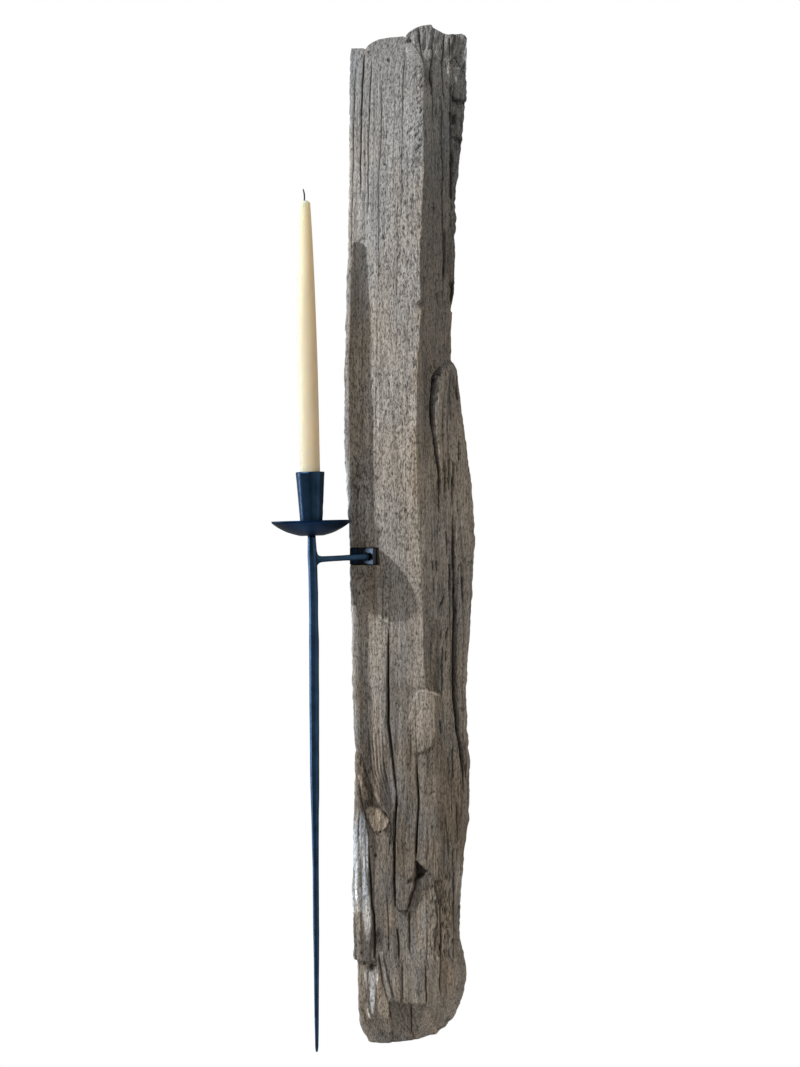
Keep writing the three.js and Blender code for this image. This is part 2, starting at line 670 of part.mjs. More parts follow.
function timberBeam() {
  const screwPilots = Object.values(bracketScrewPlaces()).map(
    (z) => towardsBack(screwHole(bracketScrew), BRACKET_SCREW_X, STRAP_WEB_Y, z),
  );
  const hangers = Object.values(HANGER_HEIGHTS).flatMap(hangerTools);
  return named('timber_beam', cut(rawTimber(), notchTool(), ...screwPilots, ...hangers), 'timber');
}

function bracketScrews() {
  return Object.entries(bracketScrewPlaces()).map(([name, z]) => {
    const geometry = towardsBack(screw(bracketScrew), BRACKET_SCREW_X, STRAP_WEB_Y, z);
    return named(name, geometry, 'iron');
  });
}

function head() {
  const group = new THREE.Group();
  group.position.copy(SEAT);
  group.rotation.y = HEAD_LEAN;
  group.add(dripPan(), candleCup());
  return group;
}

function candle() {
  const group = new THREE.Group();
  group.position.copy(CANDLE_BASE);
  group.rotation.y = CANDLE_LEAN;
  group.add(candleWax(), candleWick());
  return group;
}

const sconce = new THREE.Group();
sconce.add(timberBeam(), bracketStrap(), ...bracketScrews(), sideArm(), stemSpike());
sconce.add(head(), candle());
for (const [place, height] of Object.entries(HANGER_HEIGHTS)) {
  sconce.add(hangerPlate(place, height), ...hangerScrews(place, height));
}

export default sconce;
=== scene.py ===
"""Looks of a forged candle sconce on a weathered timber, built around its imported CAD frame.

Lengths in the lists and in the names that end in _MM are millimetres, in the frame of the CAD.
"""

import math

import bpy
import numpy as np
from mathutils import Matrix, Vector


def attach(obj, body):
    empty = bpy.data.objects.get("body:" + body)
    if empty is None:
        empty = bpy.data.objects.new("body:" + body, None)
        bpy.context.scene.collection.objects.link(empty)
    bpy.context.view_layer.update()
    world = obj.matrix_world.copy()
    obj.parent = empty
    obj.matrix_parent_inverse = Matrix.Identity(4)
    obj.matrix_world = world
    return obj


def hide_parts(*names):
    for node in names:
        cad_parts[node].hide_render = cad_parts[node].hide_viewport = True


MM = 0.001

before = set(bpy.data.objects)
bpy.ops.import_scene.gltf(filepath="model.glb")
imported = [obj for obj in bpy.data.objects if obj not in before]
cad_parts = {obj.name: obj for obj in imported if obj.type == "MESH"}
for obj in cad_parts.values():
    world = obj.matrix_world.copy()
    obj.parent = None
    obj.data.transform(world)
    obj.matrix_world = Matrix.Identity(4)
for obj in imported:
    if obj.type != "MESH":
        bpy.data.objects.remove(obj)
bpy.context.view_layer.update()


# ---- Numbers --------------------------------------------------------------------------------


def smoothstep(low, high, value):
    share = np.clip((value - low) / (high - low), 0, 1)
    return share * share * (3 - 2 * share)


def lattice(across, up, cell_across, cell_up, seed):
    """A smooth random field from -1 to 1, in cells of that size."""
    u = across / cell_across
    v = up / cell_up
    u = u - math.floor(u.min())
    v = v - math.floor(v.min())
    column = np.floor(u).astype(int)
    row = np.floor(v).astype(int)
    rng = np.random.default_rng(seed)
    table = rng.uniform(-1, 1, (row.max() + 2, column.max() + 2))
    fu = smoothstep(0, 1, u - column)
    fv = smoothstep(0, 1, v - row)
    low = table[row, column] * (1 - fu) + table[row, column + 1] * fu
    high = table[row + 1, column] * (1 - fu) + table[row + 1, column + 1] * fu
    return low * (1 - fv) + high * fv


def wander(along, cell, seed):
    """A smooth random line from -1 to 1."""
    return lattice(along, np.zeros_like(along), cell, 1, seed)


def outline_distance(across, up, corners):
    """Distance to a closed outline, negative inside it."""
    nearest = np.full(across.shape, 1e9)
    inside = np.zeros(across.shape, bool)
    for (ax, az), (bx, bz) in zip(corners, corners[1:] + corners[:1]):
        ex, ez = bx - ax, bz - az
        wx, wz = across - ax, up - az
        share = np.clip((wx * ex + wz * ez) / (ex * ex + ez * ez), 0, 1)
        nearest = np.minimum(nearest, np.hypot(wx - ex * share, wz - ez * share))
        if az != bz:
            crosses = (az > up) != (bz > up)
            inside ^= crosses & (across < ax + (up - az) * ex / ez)
    return np.where(inside, -nearest, nearest)


# ---- Meshes ---------------------------------------------------------------------------------


def add_object(name, data):
    piece = bpy.data.objects.new(name, data)
    bpy.context.scene.collection.objects.link(piece)
    return piece


def add_mesh(name, points, faces, material, body="holder"):
    """A smooth-shaded piece that rides on a body. Points are in metres."""
    mesh = bpy.data.meshes.new(name)
    mesh.from_pydata(np.asarray(points).tolist(), [], [list(face) for face in faces])
    mesh.shade_smooth()
    mesh.materials.append(material)
    piece = add_object(name, mesh)
    if body:
        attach(piece, body)
    return piece


def ring_faces(rows, columns, closed_rows=False):
    """Quads of a tube whose points run round each row, and whose rows run upwards."""
    row, column = np.meshgrid(
        np.arange(rows if closed_rows else rows - 1), np.arange(columns), indexing="ij"
    )
    above = (row + 1) % rows
    beside = (column + 1) % columns
    quads = np.stack(
        [
            row * columns + column,
            row * columns + beside,
            above * columns + beside,
            above * columns + column,
        ],
        axis=-1,
    )
    return quads.reshape(-1, 4).tolist()


def capped_faces(rows, columns):
    """A tube's quads and the flat faces that close its two ends."""
    last = (rows - 1) * columns
    caps = [list(range(columns))[::-1], list(range(last, last + columns))]
    return ring_faces(rows, columns) + caps


def set_tone(mesh, tone):
    """Stores shade, warmth and grit as a colour on each point. A fresh cut has a grit of 2."""
    layer = mesh.color_attributes.new("tone", "FLOAT_COLOR", "POINT")
    values = np.ones((len(mesh.vertices), 4), np.float32)
    values[:, :3] = tone
    layer.data.foreach_set("color", values.ravel())


# ---- Timber: outline ------------------------------------------------------------------------

# Stations of the timber's three visible edges: height, x and y.
LEFT_EDGE = [
    (544, -63, -66), (520, -64, -67), (501, -63.5, -68.5), (353, -65.6, -71), (247, -68.8, -71),
    (99, -70.9, -71), (71, -70.9, -71), (67, -69, -71), (20, -66.6, -73.5), (-28, -64.5, -76),
    (-134, -61.9, -76), (-261, -58.7, -75), (-324, -60.3, -74), (-451, -58.7, -73), (-455, -57.4, -72),
    (-494, -58, -70), (-512, -57, -68), (-524, -55.2, -65), (-535, -51, -62), (-544, -44, -58),
]
ARRIS = [
    (544, -4.5, -76), (518, -4, -81), (505, 4.5, -87), (495, 11.5, -91), (486, 13, -93),
    (385, 14.2, -93.5), (293, 10.5, -93.5), (230, 11.3, -93.5), (156, 6.7, -93.5), (88, 6.2, -93.5),
    (-28, 10.4, -93), (-91, 12.5, -92), (-162, 16.2, -90), (-167, 23, -88), (-213, 26, -87),
    (-330, 22, -86), (-448, 20, -84), (-500, 18, -82), (-508, 17, -76), (-544, 5, -66),
]
RIGHT_EDGE = [
    (544, 64, -42), (488, 62.5, -44), (423, 59.3, -45), (380, 52.8, -45), (359, 51.2, -45),
    (262, 50.2, -45), (230, 45.3, -44), (184, 44.8, -44), (181, 50.2, -46), (143, 55, -48),
    (57, 65.7, -50), (-7, 70.6, -52), (-72, 66.8, -52), (-168, 59.8, -50), (-244, 65.2, -50),
    (-308, 64.1, -50), (-394, 54.5, -48), (-437, 55, -48), (-470, 62, -46), (-502, 57, -44),
    (-523, 48, -42), (-535, 38, -41), (-544, 26, -40),
]
TOP_OUTLINE = [
    (-64, 517), (-49.5, 516.5), (-48, 514.5), (-45, 519), (-40, 522.5), (-32.7, 525.5), (-20, 527),
    (-8, 527.5), (-4, 526.5), (-3, 530), (1, 534), (5, 537), (9, 539.5), (14, 541.5), (20, 543),
    (22.8, 543.5), (25, 540.5), (30.6, 538), (36, 536), (41, 535), (48, 537), (56, 538.5), (61, 536),
    (65, 533.5), (67.7, 527),
]
BOTTOM_OUTLINE = [(-60, -541), (-44, -543.5), (-30, -544), (-12, -543), (4, -540.5), (14, -541.5),
                  (24, -540), (70, -541)]
TOP_MM, BOTTOM_MM = 544, -544
# Each end's outline, the height where its rows begin to stretch towards it, and its level
ENDS = [(TOP_OUTLINE, 480, TOP_MM), (BOTTOM_OUTLINE, -500, BOTTOM_MM)]
ROW_STEP_MM = 1.5
BACK_INSET_MM = 6
FACE_COLUMNS = {"left": 44, "front": 124, "right": 100, "side": 34, "back": 26}
FACE_NAMES = list(FACE_COLUMNS)
FRONT, RIGHT, BOTH, FAR_RIGHT = ("front",), ("right",), ("front", "right"), ("right", "side")
END_RINGS = 36
SECTION_MIDDLE_MM = (0, -38)
PITH_MM = (8, -26)
GROWTH_RING_MM = 3.4
WEAR_ROUNDS = 36
RIGHT_CRACK_WIDTH = 1.45  # widens the right face's cracks, which the view from the front narrows


def outline_height(outline, x):
    return np.interp(x, *np.array(outline, float).T)


def edge_points(stations, heights, seed):
    """x and y of an edge at each height, a little softened and ragged."""
    z, x, y = np.array(stations, float)[::-1].T
    kernel = np.exp(-0.5 * (np.arange(-6, 7) / 2) ** 2)
    kernel /= kernel.sum()
    points = []
    for values in (x, y):
        line = np.pad(np.interp(heights, z, values), 6, mode="edge")
        points.append(np.convolve(line, kernel, "valid"))
    ragged = 0.55 * wander(heights, 11, seed) + 0.4 * wander(heights, 3.5, seed + 1)
    points[0] = points[0] + ragged
    return np.stack(points, axis=-1)


class Timber:
    """The timber's surface as rows of points, with its relief and tone."""

    def __init__(self):
        self.heights = np.arange(BOTTOM_MM, TOP_MM + 0.1, ROW_STEP_MM)
        left = edge_points(LEFT_EDGE, self.heights, 1)
        arris = edge_points(ARRIS, self.heights, 3)
        right = edge_points(RIGHT_EDGE, self.heights, 5)
        back_right = np.stack([right[:, 0] - BACK_INSET_MM, np.zeros(len(right))], axis=-1)
        back_left = np.stack([left[:, 0] + BACK_INSET_MM, np.zeros(len(left))], axis=-1)
        corners = [back_left, left, arris, right, back_right, back_left]
        parts, shares, faces = [], [], []
        for i, count in enumerate(FACE_COLUMNS.values()):
            share = np.arange(count) / count
            start, end = corners[i][:, None, :], corners[i + 1][:, None, :]
            parts.append(start + (end - start) * share[None, :, None])
            shares.append(share)
            faces += [i] * count
        self.face = np.array(faces)
        self.share = np.concatenate(shares)
        plan = np.concatenate(parts, axis=1)
        self.plan = self.rounded(plan)
        step = np.roll(self.plan, -1, axis=1) - self.plan
        self.around = np.cumsum(np.hypot(step[..., 0], step[..., 1]), axis=1)
        self.x = self.plan[..., 0]
        self.z = self.stretched(self.heights[:, None] * np.ones(self.x.shape))
        self.relief = np.zeros(self.x.shape)
        self.shade = np.ones(self.x.shape)
        self.warmth = np.zeros(self.x.shape)
        self.grit = np.zeros(self.x.shape)

    def on(self, *names):
        """1 on those faces, 0 elsewhere."""
        return np.isin(self.face, [FACE_NAMES.index(name) for name in names])[None, :] * 1.0

    def rounded(self, plan):
        """Wears the long edges down, more on the lower timber, and leaves the back flat."""
        low = smoothstep(-120, -260, self.heights)[:, None, None]
        wear = 0.05 + 0.95 * low * np.ones((1, plan.shape[1], 1))
        by_left_edge = self.on("left") + self.on("front") * (self.share < 0.08)
        edge_wear = 0.16 + 0.24 * smoothstep(0, -120, self.heights)[:, None, None]
        wear = np.maximum(wear, edge_wear * by_left_edge[..., None])
        wear = wear * (self.on("left", "front", "right", "side")[..., None])
        for _ in range(WEAR_ROUNDS):
            middle = (np.roll(plan, 1, axis=1) + np.roll(plan, -1, axis=1)) / 2
            plan = plan + (middle - plan) * wear
        return plan

    def stretched(self, level):
        """Heights of the rows once those past the shoulders reach the broken ends."""
        for outline, shoulder, end in ENDS:
            stretch = (outline_height(outline, self.x) - shoulder) / (end - shoulder)
            reached = shoulder + (level - shoulder) * stretch
            level = np.where((level - shoulder) * end > 0, reached, level)
        return level

    def rows_between(self, low, high):
        return (self.z.max(axis=1) > low) & (self.z.min(axis=1) < high)

    # Marks on the surface. Each takes its place as it is seen from the front.

    def crack(self, faces, seed, depth, *path, dark=0.85, sway=0.5):
        """An open split down a path of (x, z, width) points."""
        x, z, w = np.array(sorted(path, key=lambda point: point[1]), float).T
        middle = np.interp(self.z, z, x) + sway * wander(self.z, 14, 900 + seed)
        ends = np.minimum(self.z - z[0], z[-1] - self.z)
        width = np.interp(self.z, z, w) * np.clip(ends / (0.12 * (z[-1] - z[0])), 0, 1)
        if faces[0] == "right":
            width = width * RIGHT_CRACK_WIDTH
        gap = np.abs(self.x - middle) / (width / 2 + 0.05)
        mark = np.exp(-gap * gap) * (width > 0.05) * self.on(*faces)
        self.relief -= depth * mark
        # The split is also painted darker: painted shade in its depth.
        self.shade *= 1 - dark * mark

    def cracks(self, faces, rows, **options):
        """Several cracks on the same faces."""
        for seed, depth, *path in rows:
            self.crack(faces, seed, depth, *path, **options)

    def stroke(self, faces, start, end, width, depth, dark=0.6):
        """A short cut from one point to another."""
        (ax, az), (bx, bz) = start, end
        rows = self.rows_between(min(az, bz) - 3 * width, max(az, bz) + 3 * width)
        wx, wz = self.x[rows] - ax, self.z[rows] - az
        ex, ez = bx - ax, bz - az
        share = np.clip((wx * ex + wz * ez) / (ex * ex + ez * ez), 0, 1)
        gap = np.hypot(wx - ex * share, wz - ez * share) / (width / 2)
        mark = np.exp(-gap * gap) * self.on(*faces) * (1 - 0.6 * share)
        self.relief[rows] -= depth * mark
        # The cut is also painted darker: painted shade inside it.
        self.shade[rows] *= 1 - dark * mark

    def patch(self, faces, corners, ragged=0.8, soft=0.9, seed=0):
        """1 inside an outline and 0 outside it, with a ragged edge."""
        rows = self.rows_between(min(z for _, z in corners) - 12, max(z for _, z in corners) + 12)
        x, z = self.x[rows], self.z[rows]
        x = x + ragged * lattice(self.around[rows], z, 2.5, 9, 500 + seed)
        z = z + 1.6 * ragged * lattice(self.around[rows], z, 2, 6, 600 + seed)
        mask = np.zeros(self.x.shape)
        mask[rows] = smoothstep(soft / 2, -soft / 2, outline_distance(x, z, corners))
        return mask * self.on(*faces)

    def plate(self, faces, seed, height, *corners, shade=1.0, warmth=0.0, rise=None, **edge):
        """Raises or sinks a patch. The rise gives the heights where it starts and is full."""
        mask = self.patch(faces, corners, seed=seed, **edge)
        full = smoothstep(*rise, self.z) if rise else 1
        self.relief += height * (mask * full)
        self.shade *= 1 + (shade - 1) * mask
        self.warmth += warmth * mask
        return mask

    def dent(self, centre, radius, depth, dark=0.4, stretch=1.0, faces=BOTH):
        """A round hollow."""
        gap = np.hypot(self.x - centre[0], (self.z - centre[1]) / stretch) / radius
        mark = smoothstep(1, 0.3, gap) * self.on(*faces)
        self.relief -= depth * mark
        # The hollow is also painted darker: painted shade in it.
        self.shade *= 1 - dark * mark


timber = Timber()


# ---- Timber: weathered surface --------------------------------------------------------------


def weather(t):
    """Hewn swell, raised grain, furrows and pits over the whole timber."""
    a, z = t.around, t.z
    worn = t.on("left", "front", "right", "side")
    low = smoothstep(-60, -240, z)
    rough = np.maximum(low, t.on("right", "side") * smoothstep(80, 0, z) * 0.9)
    drift = 5 * lattice(a, z, 40, 130, 11) + 1.2 * lattice(a, z, 9, 40, 12)
    grain = a + drift
    t.relief += worn * (0.5 + 0.5 * low) * 1.3 * lattice(a, z, 30, 55, 13)
    t.relief += worn * (0.22 + 0.75 * rough) * lattice(grain, z, 9, 90, 14)
    t.relief += worn * (0.08 + 0.55 * rough) * lattice(grain, z, 3.6, 60, 15)
    t.relief += worn * (0.07 + 0.32 * rough) * lattice(grain, z, 1.4, 22, 16)
    t.shade *= 1 + worn * rough * 0.13 * lattice(grain, z, 3.6, 60, 15)
    # Short dark dashes where the soft wood has gone
    dashes = smoothstep(0.42, 0.8, lattice(grain, z, 1.2, 4.2, 17))
    dashes *= smoothstep(-0.5, 0.5, lattice(a, z, 22, 45, 18) + 0.25)
    t.relief -= worn * 0.4 * dashes
    t.shade *= 1 - 0.42 * dashes * worn
    streaks = smoothstep(0.45, 0.9, lattice(grain, z, 1.6, 55, 19))
    t.relief -= worn * (0.08 + 0.7 * rough) * streaks
    t.shade *= 1 - worn * (0.06 + 0.34 * rough) * streaks
    pits = smoothstep(0.62, 0.9, lattice(a, z, 2.3, 3.4, 20))
    pits *= smoothstep(0.1, 0.7, lattice(a, z, 18, 30, 21))
    t.relief -= worn * 0.9 * pits
    t.shade *= 1 - 0.5 * pits * worn
    bands = (0.05 + 0.08 * rough) * lattice(grain, z, 4.5, 80, 22)
    t.shade *= 1 + bands + 0.09 * lattice(a, z, 26, 60, 23)
    t.shade *= 1 + 0.24 * low * lattice(a, z, 12, 34, 26)
    t.warmth += 0.22 * lattice(a, z, 24, 70, 24) + 0.1 * lattice(grain, z, 5, 60, 25)
    t.warmth += 0.3 * low * lattice(a, z, 12, 34, 27)


def height_tones(t):
    """Cooler and paler at the top, browner in the middle, darker below."""
    z = t.z
    t.warmth += np.interp(
        t.heights, [-541, -420, -300, -150, 0, 110, 200, 330, 430, 544],
        [0.6, 0.7, 0.75, 0.6, 0.62, 0.62, 0.48, 0.16, -0.05, -0.1],
    )[:, None]
    front = np.interp(
        t.heights, [-541, -440, -380, -290, -200, -110, -50, 0, 120, 215, 331, 437, 484, 544],
        [0.78, 0.76, 0.62, 0.66, 0.82, 0.98, 0.98, 1.02, 1.03, 0.92, 0.95, 0.79, 0.64, 0.60],
    )[:, None]
    right = np.interp(
        t.heights, [-541, -452, -300, -198, -100, -28, 0, 150, 300, 440, 505, 544],
        [0.94, 0.96, 0.78, 0.92, 0.98, 1.0, 0.97, 0.75, 0.67, 0.69, 1.0, 1.05],
    )[:, None]
    t.shade *= np.where(t.on("right", "side") > 0, right, front) * np.ones_like(z)
    t.grit += t.on("front") * np.interp(t.heights, [-541, -250, -60, 130, 500, 544],
                                        [0.6, 0.65, 0.9, 1.0, 1.0, 0.9])[:, None]
    t.grit += t.on("left") * 0.5 + t.on("right", "side") * 0.5
    t.grit *= 1 - 0.5 * t.on("front") * smoothstep(-20, -48, t.x) * smoothstep(150, 260, z)


def off_right_edge(t):
    """1 all over, but fading to 0 where the right face nears its back edge."""
    return 1 - smoothstep(0.88, 1, t.share)[None, :] * t.on("right")


def nicks(t, rng, count, faces, pick_x, heights, lean, drop, width, depth, dark):
    """Short cuts down the grain at random places. The pairs are the least and the most."""
    for _ in range(count):
        x = pick_x()
        z = rng.uniform(*heights)
        end = (x + rng.uniform(*lean), z - rng.uniform(*drop))
        t.stroke(faces, (x, z), end, rng.uniform(*width), rng.uniform(*depth), dark=dark)


# Plain drying checks: x, top and bottom
FRONT_CHECKS = [
    (-55.5, 472, 300), (-47, 440, 290), (-37.5, 476, 330), (-25, 455, 300), (-16, 470, 350),
    (-35, 240, 60), (-13, 300, 180), (-50, 260, 90),
]
RIGHT_CHECKS = [
    (36, 75, 42), (40, 82, 46), (44, 62, 28), (38, 4, -24), (42, -30, -62), (30, 60, 22),
    (55, -30, -75), (45, -225, -262), (40, -236, -268), (50, -285, -330), (36, -300, -345),
]


def upper_front(t):
    """Drying checks, tool nicks along the arris and its chips."""
    t.cracks(FRONT, [
        (1, 2.4, (-48.1, 512, 1.9), (-50.2, 479, 1.6), (-51.8, 437, 1.3), (-52.8, 352, 0.9)),
        (2, 1.4, (-57.6, 498, 1.0), (-58.6, 458, 1.1), (-60.2, 394, 1.0), (-62.9, 289, 0.8)),
        (3, 1.5, (-40.7, 508, 1.2), (-42.3, 458, 1.1), (-43.9, 415, 0.9), (-44.9, 326, 0.8)),
        (4, 1.1, (-30.7, 481, 0.8), (-30.1, 426, 0.9), (-32.8, 379, 0.9), (-33.3, 247, 0.7)),
        (5, 1.0, (-4.8, 516, 0.9), (-6.9, 484, 0.9), (-8, 447, 0.8), (-9, 331, 0.7)),
    ])
    for i, (x, top, bottom) in enumerate(FRONT_CHECKS):
        t.crack(FRONT, 6 + i, 0.5, (x, top, 0.7), (x - 1.5, bottom, 0.6), dark=0.5)
    t.dent((-22.7, 501), 2.2, 1.8, dark=0.6, stretch=1.4)
    t.dent((-43.5, 511), 2.6, 1.5, dark=0.4)
    t.dent((0, 522), 5, 2.5, dark=0.45, stretch=0.8, faces=RIGHT)
    t.dent((22, 484), 9, 1.6, dark=0.22, stretch=1.5, faces=RIGHT)
    t.dent((11, 240), 5.5, 2.6, dark=0.35, stretch=1.3)
    t.dent((10.5, 322), 3.5, 1.2, dark=0.25)
    rng = np.random.default_rng(31)
    for _ in range(46):
        x = 12 - abs(rng.normal(0, 8))
        z = rng.uniform(385, 492)
        length = rng.uniform(4, 9)
        lean = rng.uniform(0.45, 1.1)
        end = (x + length * math.cos(lean), z + length * math.sin(lean))
        t.stroke(FRONT, (x, z), end, rng.uniform(0.8, 1.3), rng.uniform(0.6, 1.2), dark=0.72)
    nicks(t, rng, 190, FRONT, lambda: 12 - abs(rng.normal(0, 17)), (20, 400), (-1.2, 1.6), (2, 6),
          (0.8, 1.5), (0.4, 1.3), 0.75)
    nicks(t, rng, 150, RIGHT, lambda: rng.uniform(14, 62), (-440, 470), (-0.8, 0.8), (3, 11),
          (0.8, 1.5), (0.5, 1.5), 0.65)
    nicks(t, rng, 50, FRONT, lambda: rng.uniform(-64, 6), (-60, 240), (-1, 1), (3, 7),
          (0.9, 1.5), (0.4, 1.2), 0.5)
    near_arris = t.on("front") * smoothstep(0.9, 1, t.share)[None, :]
    blotches = smoothstep(0.1, 0.6, lattice(t.around, t.z, 8, 26, 33))
    t.warmth += 0.5 * near_arris * smoothstep(-60, 40, t.z) * blotches


def upper_right(t):
    """Broken top, seam and rough back ridge of the right face."""
    ridge = [(44.5, 496), (44.8, 440), (43.5, 396), (44.5, 340), (41, 318), (39, 290), (42, 262),
             (45, 238), (90, 238), (90, 540), (47, 540)]
    mask = t.plate(FAR_RIGHT, 40, -2.2, *ridge, shade=0.82)
    rough = lattice(t.around, t.z, 3.5, 9, 41) + 0.6 * lattice(t.around, t.z, 1.8, 4, 42)
    t.relief += mask * 0.9 * rough
    t.shade *= 1 + mask * 0.22 * rough
    t.cracks(RIGHT, [
        (43, 0.9, (34, 466, 0.9), (33.6, 400, 0.9), (35.4, 330, 0.8), (35.7, 248, 0.8)),
        (44, 2.4, (44.2, 492, 1.6), (44.8, 440, 2.0), (43.8, 396, 1.6), (44.5, 345, 1.4)),
        (45, 1.4, (37.2, 326, 1.8), (36.8, 271, 1.6)),
        (46, 2.0, (46.5, 411, 2.2), (46.2, 357, 1.6)),
        (47, 0.8, (25, 530, 1.0), (24, 470, 0.8), (25, 430, 0.6)),
        (48, 1.2, (38, 538, 1.3), (36, 490, 0.9), (36.5, 455, 0.6)),
        (49, 1.1, (10, 540, 1.3), (12, 515, 1.0), (15, 492, 0.8)),
    ])
    t.plate(RIGHT, 50, -3.5, (42.9, 449.5), (51.5, 448), (52, 439), (46, 438), (43, 441), shade=0.35)
    t.plate(RIGHT, 51, -2.5, (48, 425), (60, 424.5), (60, 419), (49, 421), shade=0.4)
    t.plate(FAR_RIGHT, 52, 2.2, (48, 490), (61, 488), (62, 467), (49, 465.5), shade=1.12)
    t.plate(RIGHT, 53, -1.2, (47, 465), (62, 466), (62, 461), (48, 461), shade=0.5)
    t.plate(RIGHT, 54, -2.6, (44.5, 271), (52, 270), (53, 240), (46, 238), shade=0.4)
    t.plate(
        RIGHT, 55, -1.4, (15, 498), (24, 505), (40, 505), (41, 475), (36, 466), (24, 462), (17, 466),
        shade=0.9, soft=0.5
    )
    t.plate(RIGHT, 56, -0.8, (15, 452), (30, 452), (27, 426), (18, 423), (14.5, 430), shade=1.06)
    broken = t.plate(
        BOTH, 57, -1.6, (-4, 529), (3.5, 520), (14, 498), (17, 472), (23, 468),
        (26, 490), (42, 500), (70, 500), (70, 560), (-4, 560), shade=0.84, soft=0.6
    )
    splinter = lattice(t.around, t.z, 4, 12, 58) + 0.5 * lattice(t.around, t.z, 1.8, 7, 59)
    t.relief += 0.9 * splinter * broken
    t.shade *= 1 + 0.16 * splinter * broken
    for path in ([(43, 530), (44.5, 505), (45, 494)], [(50, 512), (57, 500), (61, 494)],
                 [(46, 478), (45, 470), (50, 464), (60, 465)],
                 [(44, 432), (47, 424), (52, 426), (58, 423)],
                 [(45, 400), (43.5, 392), (46, 386)], [(46, 350), (43, 342), (45, 330)]):
        for start, end in zip(path, path[1:]):
            t.stroke(FAR_RIGHT, start, end, 1.5, 1.6, dark=0.85)


def sliver(t):
    """The long splinter that stands off the right face."""
    before = t.relief.copy()
    corners = [(42.5, 184.5), (46.5, 185), (48, 181), (48.6, 169.5), (51, 168), (80, 167), (80, 20),
               (34, 24), (32, 60), (29.5, 81), (26.4, 103), (24.6, 124), (24.2, 137), (25.6, 141),
               (26, 154), (25.6, 164), (29, 168), (32.5, 176), (37, 180)]
    # Sinks the face beside the splinter and paints it darker: painted shade in the hollow there.
    t.plate(
        RIGHT, 68, -1.2, (14, 190), (26.5, 172), (24.4, 140), (24, 105), (17, 70), (14, 110),
        shade=0.78, soft=6
    )
    t.plate(RIGHT, 60, 4.6, *corners, shade=1.12, rise=(18, 120), ragged=0.7, soft=0.35)
    t.relief = before + (t.relief - before) * off_right_edge(t)
    t.crack(
        RIGHT, 61, 3.0, (36, 181, 0.9), (31, 176, 1.2), (25.4, 166, 1.4), (24.6, 150, 1.5),
        (23.2, 138, 1.5), (23.6, 120, 1.4), (25, 103, 1.4), dark=0.95, sway=0.2
    )
    t.crack(
        RIGHT, 62, 2.8, (25.2, 108, 1.4), (28.4, 81, 1.4), (31.4, 56, 1.1), (33, 40, 0.8), dark=0.92
    )
    # Lighter, warmer facet on the splinter's left: a painted highlight where it turns to the light.
    t.plate(
        RIGHT, 105, 0.8, (26.5, 146), (27, 160), (31, 167), (35, 176), (37.5, 174), (34, 158),
        (31, 140), (28, 128), shade=1.22, warmth=0.15, ragged=1.4, soft=1.5
    )
    t.plate(RIGHT, 106, -0.8, (38, 172), (45, 178), (44, 130), (40, 100), shade=0.88, soft=1.5)
    for corner in ((25.4, 163, 29, 168), (29, 168, 32, 176), (24, 139, 27.5, 143)):
        t.stroke(RIGHT, corner[:2], corner[2:], 1.4, 1.0, dark=0.7)
    t.crack(RIGHT, 63, 4.0, (49.6, 172, 2.4), (49.2, 158, 2.6), (48.6, 142, 1.8), dark=0.9)
    t.crack(RIGHT, 69, 1.0, (41, 172, 0.9), (40, 150, 1.1), (41, 120, 0.8), dark=0.55)
    t.crack(RIGHT, 64, 1.3, (50.6, 99, 1.5), (50, 78, 1.2), dark=0.75)
    t.crack(RIGHT, 65, 1.4, (44, 78, 1.6), (46.6, 46, 1.2), dark=0.75)
    t.crack(RIGHT, 66, 0.9, (40, 165, 1.0), (37, 120, 1.0), (39, 70, 0.8), dark=0.5)
    t.crack(RIGHT, 67, 0.8, (33, 150, 0.9), (32, 110, 0.9), (35, 60, 0.8), dark=0.5)


